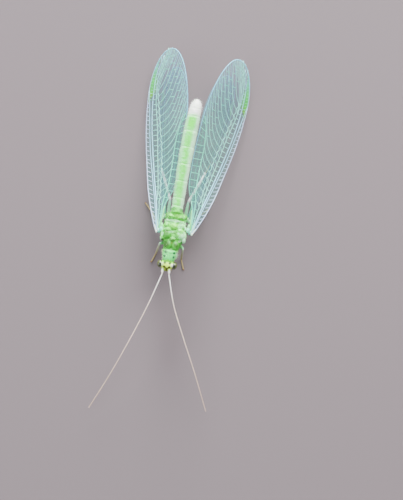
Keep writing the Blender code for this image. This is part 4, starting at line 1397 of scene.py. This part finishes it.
# The two rows of edges that wing_edges() gives, and the steps of the margin and the membrane
COSTAL, REAR = 0, 1
EDGE_STEPS = 60
TIP_STEPS = 40
MEMBRANE_ROWS = 60
MEMBRANE_COLUMNS = 22

# The tinted cell: its thickness, and how much it keeps clear of the rim and reaches past the radius
STIGMA_THICKNESS = 0.024
STIGMA_INSET = 0.02
STIGMA_PAST = 0.1
STIGMA_COLUMNS = 6


def wing_edges(wing, u):
    """Costal and rear edge beside the long axis. Past its last row each closes in a quarter ellipse."""
    edges = []
    for table in (wing.costal_edge, wing.rear_edge):
        start = table[-1][0]
        share = np.clip((u - start) / (wing.length - start), 0.0, 1.0)
        edges.append(curve_through(table, u) * np.sqrt(1 - share**2))
    return edges


def on_wing(wing, side, u, v, above=0.0):
    """Places of points u along a wing and v towards its costal edge, on its curved surface."""
    u, v = np.broadcast_arrays(np.atleast_1d(np.asarray(u, float)), np.asarray(v, float))
    u = u + wing.root_shift[side] * (1 - smooth(u / ROOT_SHIFT_LENGTH))
    yaw = wing.yaw[side]
    out = wing.hinge_x[side] + u * math.sin(yaw) + v * math.cos(yaw)
    y = wing.hinge_y + u * math.cos(yaw) - v * math.sin(yaw)
    roof_yaw = FOREWING.yaw[side]
    from_hinge = out - FOREWING.hinge_x[side]
    along = from_hinge * math.sin(roof_yaw) + y * math.cos(roof_yaw)
    across = from_hinge * math.cos(roof_yaw) - y * math.sin(roof_yaw)
    risen = np.clip((along - ARCH_FROM) / (ARCH_FULL - ARCH_FROM), 0, 1)
    arch = ROOF_ARCH * risen * (1 - np.clip(across / ARCH_HALF_WIDTH, -1, 1) ** 2)
    z = curve_through(ROOF_HEIGHT, along) - across * curve_through(ROOF_SLOPE, along) + arch - wing.drop
    if wing.drop:
        inside = np.clip((BESIDE_ABDOMEN_X - out) / BESIDE_ABDOMEN_FADE, 0, 1)
        behind = np.clip(y - BESIDE_ABDOMEN_Y, 0, 1)
        z = z - np.maximum(z - UNDER_ABDOMEN_Z, 0) * inside * behind
    ripple = sum(height * np.sin(across * over + along * on) for height, over, on in RIPPLES)
    z = z + wing.lift + ripple * smooth((u - 0.6) / 2) + above
    return np.column_stack([SIDES[side] * out, y, z])


def v_at(table, u):
    """Where a vein runs at one distance from the hinge."""
    return float(curve_through(table, u)[0])


def edge_at(wing, u, edge):
    """Where the costal or the rear edge is at one distance from the hinge."""
    return float(wing_edges(wing, np.array([u]))[edge][0])


def zigzag_middle(wing):
    """The false middle vein, bent one way where a branch joins it and the other way where one leaves it."""
    start, end, count = wing.forks
    corners = [(u, v) for u, v in wing.middle if u < start - 0.2]
    leaving = np.linspace(start, end, count)
    last = wing.middle[-1][0]
    for u in leaving[leaving < last]:
        half = (leaving[1] - leaving[0]) / 2
        corners.append((u - half, v_at(wing.middle, u - half) + ZIGZAG))
        corners.append((u, v_at(wing.middle, u) - ZIGZAG))
    return corners


def fork_line(wing, u):
    """A branch that leaves the middle vein steeply and bends until it runs almost along the wing."""
    last = wing.middle[-1][0]
    start_v = v_at(wing.middle, u) - ZIGZAG if u < last else v_at(wing.sector, u)
    spread = FORK_SPREAD * (1 - FORK_NARROWING * smooth((u - NARROW_FROM) / NARROW_FADE))
    return u + FORK_STEPS, start_v - spread * (1 - np.exp(-FORK_STEPS / FORK_BEND)) - FORK_DRIFT * FORK_STEPS


def cut_at_margin(wing, us, vs, inset=0.0):
    """The stretch of a line that lies inside the wing's outline."""
    costal, rear = wing_edges(wing, us)
    inside = (vs > rear + inset) & (vs < costal - inset) & (us < wing.length - 0.05)
    stop = len(us) if inside.all() else int(np.argmin(inside))
    if 0 < stop < len(us):
        a, b = stop - 1, stop
        gap_a, gap_b = vs[a] - rear[a], vs[b] - rear[b]
        share = np.clip(gap_a / max(gap_a - gap_b, 1e-6), 0, 1)
        us = np.append(us[:stop], us[a] + (us[b] - us[a]) * share)
        vs = np.append(vs[:stop], vs[a] + (vs[b] - vs[a]) * share)
        return us, vs
    return us[:stop], vs[:stop]


def margin_line(wing):
    """The outline of the wing from the costal root round the tip to the rear root."""
    turn = np.sin(np.linspace(0, math.pi / 2, TIP_STEPS)[1:])
    halves = []
    for edge, table in ((COSTAL, wing.costal_edge), (REAR, wing.rear_edge)):
        start = table[-1][0]
        us = np.concatenate([np.linspace(wing.root, start, EDGE_STEPS), start + (wing.length - start) * turn])
        halves.append(np.column_stack([us, wing_edges(wing, us)[edge]]))
    return np.concatenate([halves[COSTAL], halves[REAR][-2::-1]])


def make_membrane(name, wing, side, nodes):
    """The clear membrane, a thin closed sheet."""
    turn = np.linspace(0, 1, MEMBRANE_ROWS)
    us = wing.root + (wing.length * 0.9995 - wing.root) * np.sin(turn * math.pi / 2) ** 0.9
    grid = []
    for u in us:
        vs = np.linspace(edge_at(wing, u, COSTAL), edge_at(wing, u, REAR), MEMBRANE_COLUMNS)
        grid.append(on_wing(wing, side, u, vs))
    half = wing.length / 2
    to_tip = np.tile(np.repeat(smooth((us - half) / half), MEMBRANE_COLUMNS), 2)[:, None]
    shape = Shape()
    # The membrane's tint: teal at the root, bluer towards the tip, where the blue is a painted sheen
    shape.add(*sheet(np.array(grid), MEMBRANE), blend(MEMBRANE_ROOT, MEMBRANE_TIP_SHEEN, to_tip))
    shape.piece(f"{name}_{side}_membrane", CLEAR_BELOW if wing.drop else CLEAR, "wing_membrane", nodes)


class Veins(Shape):
    """The veins of one wing, as fine round rods in its surface."""

    def __init__(self, wing, side):
        super().__init__()
        self.wing = wing
        self.side = side

    def at(self, u, v, above=0.0):
        return on_wing(self.wing, self.side, u, v, above)

    def with_painted_shade(self, colour):
        """A vein's colour, darkened for the hind wings as painted shade under the front pair."""
        return np.array(colour) * self.wing.tone

    def rod(self, us, vs, radii, colour, sides=5):
        """A vein through points of the wing, thinning from its first radius to its second."""
        path = self.at(us, vs)
        radii = np.linspace(*np.broadcast_to(radii, 2), len(path)) * self.wing.thickness
        self.add(*tube(path, radii, sides), self.with_painted_shade(colour))
        return path

    def vein(self, line, radii, colour, steps=12, sides=6):
        """A vein along a smooth line of (u, v)."""
        return self.rod(*smooth_path(line, steps).T, radii, colour, sides)

    def bar(self, start, end, colour, speck=False):
        """A cross-vein, dark where it leaves the vein in front of it if it has a speck."""
        path = self.vein([start, end], CROSS_VEIN, colour, 5)
        if speck:
            self.add(*tube([path[0], path[0] + (path[1] - path[0]) * 0.8], CROSS_VEIN * 1.35, 6), SPECK)

    def rim(self):
        """The rim, blue round the tip, and its fringe of very short hairs as far as the tip's rear."""
        path = self.at(*margin_line(self.wing).T)
        share = np.linspace(0, 1, len(path))
        radii = curve_through(MARGIN_RADII, share) * self.wing.thickness
        along = along_rod(share, 6)
        tint = blend(LILAC_WHITE, RIM_TIP, smooth((along - 0.3) / 0.15))
        tint = blend(tint, TURQUOISE, smooth((along - 0.78) / 0.12))
        self.add(*tube(path, radii, 6), self.with_painted_shade(tint))

        fringe = path[: int(len(path) * 0.8)]
        roots = read_path(fringe, np.linspace(0, 1, len(fringe)), np.linspace(0.02, 1, 300))
        tangents = unit(np.gradient(roots, axis=0))
        inward = unit(np.cross(tangents, np.array([0.0, 0.0, -SIDES[self.side]])))
        lean = -inward + tangents * 0.9 + rng.normal(0, 0.15, roots.shape)
        lengths = 0.09 * rng.uniform(0.7, 1.1, len(roots))
        add_hairs(self, roots, lean, lengths, LILAC_WHITE, HAIR_RADIUS)

    def long_veins(self):
        """The veins that run along the wing, and the hard pieces at its root."""
        wing = self.wing
        for field, *look in LONG_VEINS:
            self.vein(getattr(wing, field), *look)
        for line in wing.anal:
            self.vein(line, ANAL_VEIN, TURQUOISE, 16)
        corners = np.array(zigzag_middle(wing))
        us = np.linspace(corners[0, 0], corners[-1, 0], 90)
        self.rod(us, np.interp(us, *corners.T), MIDDLE_VEIN, PALE_VEIN, 6)
        for line, radii, colour in wing.sclerites:
            self.vein(line, radii, colour, 9, 10)
        for u, v, radii, colour in wing.plates:
            self.add(*ball(self.at(u, v)[0], radii, 3), colour)

    def cross_veins(self):
        """The bars between the long veins."""
        wing = self.wing
        for u in np.linspace(*wing.costal_bars):
            end = u + 0.05 + 0.1 * (u < 5)
            self.bar((u, v_at(wing.subcosta, u)), (end, edge_at(wing, end, COSTAL)), LILAC_WHITE, True)
        for front, rear, us, lean, colour, speck in (
            (wing.radius, wing.sector, np.linspace(*wing.sector_bars), 0.08, PALE_VEIN, True),
            (wing.subcosta, wing.radius, (1.0, wing.subcosta[-1][0] - 0.2), 0.0, PALE_VEIN, True),
            (wing.radius, wing.middle, np.arange(0.8, wing.sector[0][0] + 0.5, 0.8), 0.05, TURQUOISE, False),
            (wing.middle, wing.cubitus, (0.6, 1.3, 2.0), 0.1, TURQUOISE, True),
        ):
            for u in us:
                self.bar((u, v_at(front, u)), (u + lean, v_at(rear, u + lean)), colour, speck)
        for u in np.linspace(*wing.rungs):
            end = u - 0.05 if u < 7 else u + 0.25
            self.bar((u, v_at(wing.cubitus, u)), (end, edge_at(wing, end, REAR)), TURQUOISE)

    def forks(self):
        """The comb of branches behind the sector, split near the edge, and the rows of steps between them."""
        wing = self.wing
        start, end, count = wing.forks
        half = (end - start) / (count - 1) / 2
        cubitus_end = wing.cubitus[-1][0]
        lines = []
        for u in np.linspace(start, end, count):
            if wing.sector[0][0] < u - 0.35 < wing.sector[-1][0] and u < wing.middle[-1][0]:
                leaves, meets = u - 0.32, u - half + 0.28
                joint_v = v_at(wing.middle, meets) + ZIGZAG * 0.4
                self.vein([(leaves, v_at(wing.sector, leaves)), (meets, joint_v)], BRANCH_VEIN, PALE_VEIN, 5)
            us, vs = cut_at_margin(wing, *fork_line(wing, u))
            behind = vs < curve_through(wing.cubitus, np.minimum(us, cubitus_end))
            stop = int(np.argmax(behind))
            if not behind.any() or us[stop] >= cubitus_end - 0.3:
                stop = len(us)
            us, vs = us[: stop + 1], vs[: stop + 1]
            lines.append((us, vs))
            self.rod(us, vs, BRANCH_VEIN, PALE_VEIN)
            if stop >= len(us) and len(us) > 14:
                self.split(us, vs)
        for distance in (1.0, 2.0, 3.0):
            for (us, vs), (next_us, next_vs) in zip(lines, lines[1:]):
                near = us[0] + distance + (next_us[0] - us[0]) * 1.05
                far = next_us[0] + distance * 0.96 + 0.05
                if near < us[-1] - 0.15 and far < next_us[-1] - 0.1:
                    step = [(near, np.interp(near, us, vs)), (far, np.interp(far, next_us, next_vs))]
                    self.vein(step, STEP_VEIN, TURQUOISE, 3, 5)

    def split(self, us, vs):
        """The second tine of a branch that splits before it meets the edge."""
        at = int(len(us) * SPLIT_AT)
        on = np.linspace(0, 3.2, 24)
        slope = (vs[-1] - vs[at]) / max(us[-1] - us[at], 1e-3)
        self.twig(us[at] + on, vs[at] + on * slope - 0.13 * (1 - np.exp(-on / 0.4)), SPLIT_RADII, SPLIT_VEIN)

    def twig(self, us, vs, radii, colour):
        """A fine branch, as far as the rim."""
        us, vs = cut_at_margin(self.wing, us, vs)
        if len(us) > 2:
            self.rod(us, vs, radii, colour)

    def tip_twigs(self):
        """The last branches of radius and sector, which part slowly and run out to the rim of the tip."""
        wing = self.wing
        end = wing.stigma[1]
        for table, first, apart, spread in (
            (wing.radius, end - 0.5, 0.3, 0.5),
            (wing.sector, end - 0.4, 0.4, 0.3),
            (wing.sector, end - 3.3, 0.5, -0.2),
        ):
            for u in np.arange(first, table[-1][0] + 0.01, apart):
                us = u + np.linspace(0, 3.6, 36)
                self.twig(us, curve_through(table, us) + spread * (us - u), TWIG_VEIN, PALE_VEIN)

    def stigma_bars(self):
        """The close cross-veins inside the tinted cell."""
        wing = self.wing
        start, end = wing.stigma
        for u in np.arange(start + 0.2, end - 0.4, 0.24):
            inner = v_at(wing.radius, u)
            line = [(u, inner), (u + 0.08, edge_at(wing, u + 0.08, COSTAL))]
            self.vein(line, CROSS_VEIN, blend(wing.stigma_tints[1], PALE_VEIN, 0.5), 5)
            mark = self.at([u, u + 0.02], [inner + 0.02, inner + 0.08], 0.012)
            self.add(*tube(mark, CROSS_VEIN * 1.2, 6), SPECK)

    def hairs(self, line, spacing):
        """Upright hairs along a long vein."""
        us = np.arange(line[0][0] + 0.3, line[-1][0] - 0.1, spacing)
        roots = self.at(us, curve_through(line, us), 0.015)
        lean = np.column_stack([rng.normal(0, 0.5, len(us)), np.full(len(us), 0.7), np.ones(len(us))])
        add_hairs(self, roots, lean, 0.08 * rng.uniform(0.7, 1.1, len(us)), SPECK, FINE_HAIR_RADIUS)


def make_veins(name, wing, side, nodes):
    """Every vein of one wing, with its tinted cell and its hairs."""
    veins = Veins(wing, side)
    veins.rim()
    veins.long_veins()
    veins.cross_veins()
    veins.forks()
    veins.tip_twigs()
    veins.stigma_bars()
    make_stigma(name, wing, side, nodes)
    for field, spacing in VEIN_HAIRS:
        veins.hairs(getattr(wing, field), spacing)
    veins.piece(f"{name}_{side}_veins", VEIN, "wing_membrane", nodes)


def make_stigma(name, wing, side, nodes):
    """The tinted cell near the tip, olive at its near end, narrowing and fading towards both ends."""
    start, end = wing.stigma
    us = np.linspace(start, end, 70)
    costal = wing_edges(wing, us)[COSTAL] - STIGMA_INSET
    inner = curve_through(wing.radius, us) - STIGMA_PAST
    narrowed = 0.05 + 0.95 * smooth((us - start) / 0.9) * smooth((end - us) / 2.0)
    inner = costal + (inner - costal) * narrowed
    grid = [on_wing(wing, side, u, np.linspace(a, b, STIGMA_COLUMNS)) for u, a, b in zip(us, costal, inner)]
    share = np.tile(np.repeat((us - start) / (end - start), STIGMA_COLUMNS), 2)[:, None]
    first, middle, last = wing.stigma_tints
    colours = blend(blend(first, middle, smooth((share - 0.1) / 0.25)), last, smooth((share - 0.4) / 0.45))
    shape = Shape()
    shape.add(*sheet(np.array(grid), STIGMA_THICKNESS), colours)
    shape.piece(f"{name}_{side}_stigma", STIGMA, "wing_membrane", nodes)


# The floor, the lights and the camera


def make_stage():
    floor_mesh = bpy.data.meshes.new("floor")
    floor_mesh.from_pydata([(-2, -2, 0), (2, -2, 0), (2, 2, 0), (-2, 2, 0)], [], [(0, 1, 2, 3)])
    floor = bpy.data.objects.new("floor", floor_mesh)
    bpy.context.scene.collection.objects.link(floor)
    material = bpy.data.materials.new("floor")
    material.use_nodes = True
    shader = shader_of(material)
    shader.inputs["Base Color"].default_value = (*linear(FLOOR), 1)
    shader.inputs["Roughness"].default_value = 0.75
    floor_mesh.materials.append(material)


def make_light(name, place_mm, size, power, colour):
    light = bpy.data.lights.new(name, "AREA")
    light.shape = "DISK"
    light.size = size
    light.energy = power
    light.color = colour
    obj = bpy.data.objects.new(name, light)
    obj.location = to_row(place_mm)
    aim = Vector(to_row(VIEW_MIDDLE)) - obj.location
    obj.rotation_euler = aim.to_track_quat("-Z", "Y").to_euler()
    bpy.context.scene.collection.objects.link(obj)


# Lights: name, place in millimetres, width in metres, watts and colour
LIGHTS = (
    ("key", (95, 180, 140), 0.18, 1.3, (1.0, 0.99, 0.97)),
    ("rim", (-40, 250, 64), 0.08, 2.3, (1.0, 1.0, 1.0)),
    ("top", (-30, 190, 240), 0.22, 0.9, (0.98, 0.99, 1.0)),
    ("fill", (-190, -60, 170), 0.28, 0.6, (0.95, 0.97, 1.0)),
)


def make_lights():
    """Three soft lights past the wing tips, a weak one beside the head, and pale surroundings."""
    for light in LIGHTS:
        make_light(*light)
    world = bpy.data.worlds.new("studio")
    world.use_nodes = True
    background = world.node_tree.nodes["Background"]
    background.inputs["Color"].default_value = (0.95, 0.97, 1.0, 1)
    background.inputs["Strength"].default_value = 0.5
    bpy.context.scene.world = world


def make_camera():
    camera = bpy.data.cameras.new("camera")
    camera.sensor_width = SENSOR
    camera.lens = SENSOR * VIEW_HEIGHT / VIEW_LONG_SIDE
    camera.clip_start = 0.01
    camera.clip_end = 10
    obj = bpy.data.objects.new("camera", camera)
    obj.location = to_row(np.array(VIEW_MIDDLE) + (0, 0, VIEW_HEIGHT))
    obj.rotation_euler = (0, 0, VIEW_TURN)
    bpy.context.scene.collection.objects.link(obj)
    bpy.context.scene.camera = obj


make_stage()
make_lights()
make_camera()
make_skin()
make_palps()
for side_name in SIDES:
    make_eye(side_name)
    make_antenna(side_name)
    for wing_name, pair in (("forewing", FOREWING), ("hindwing", HINDWING)):
        make_membrane(wing_name, pair, side_name, [f"{wing_name}_{side_name}"])
        make_veins(wing_name, pair, side_name, [f"{wing_name}_{side_name}"])
for leg_name, leg_run in LEG_RUN.items():
    make_leg(leg_name, leg_run)
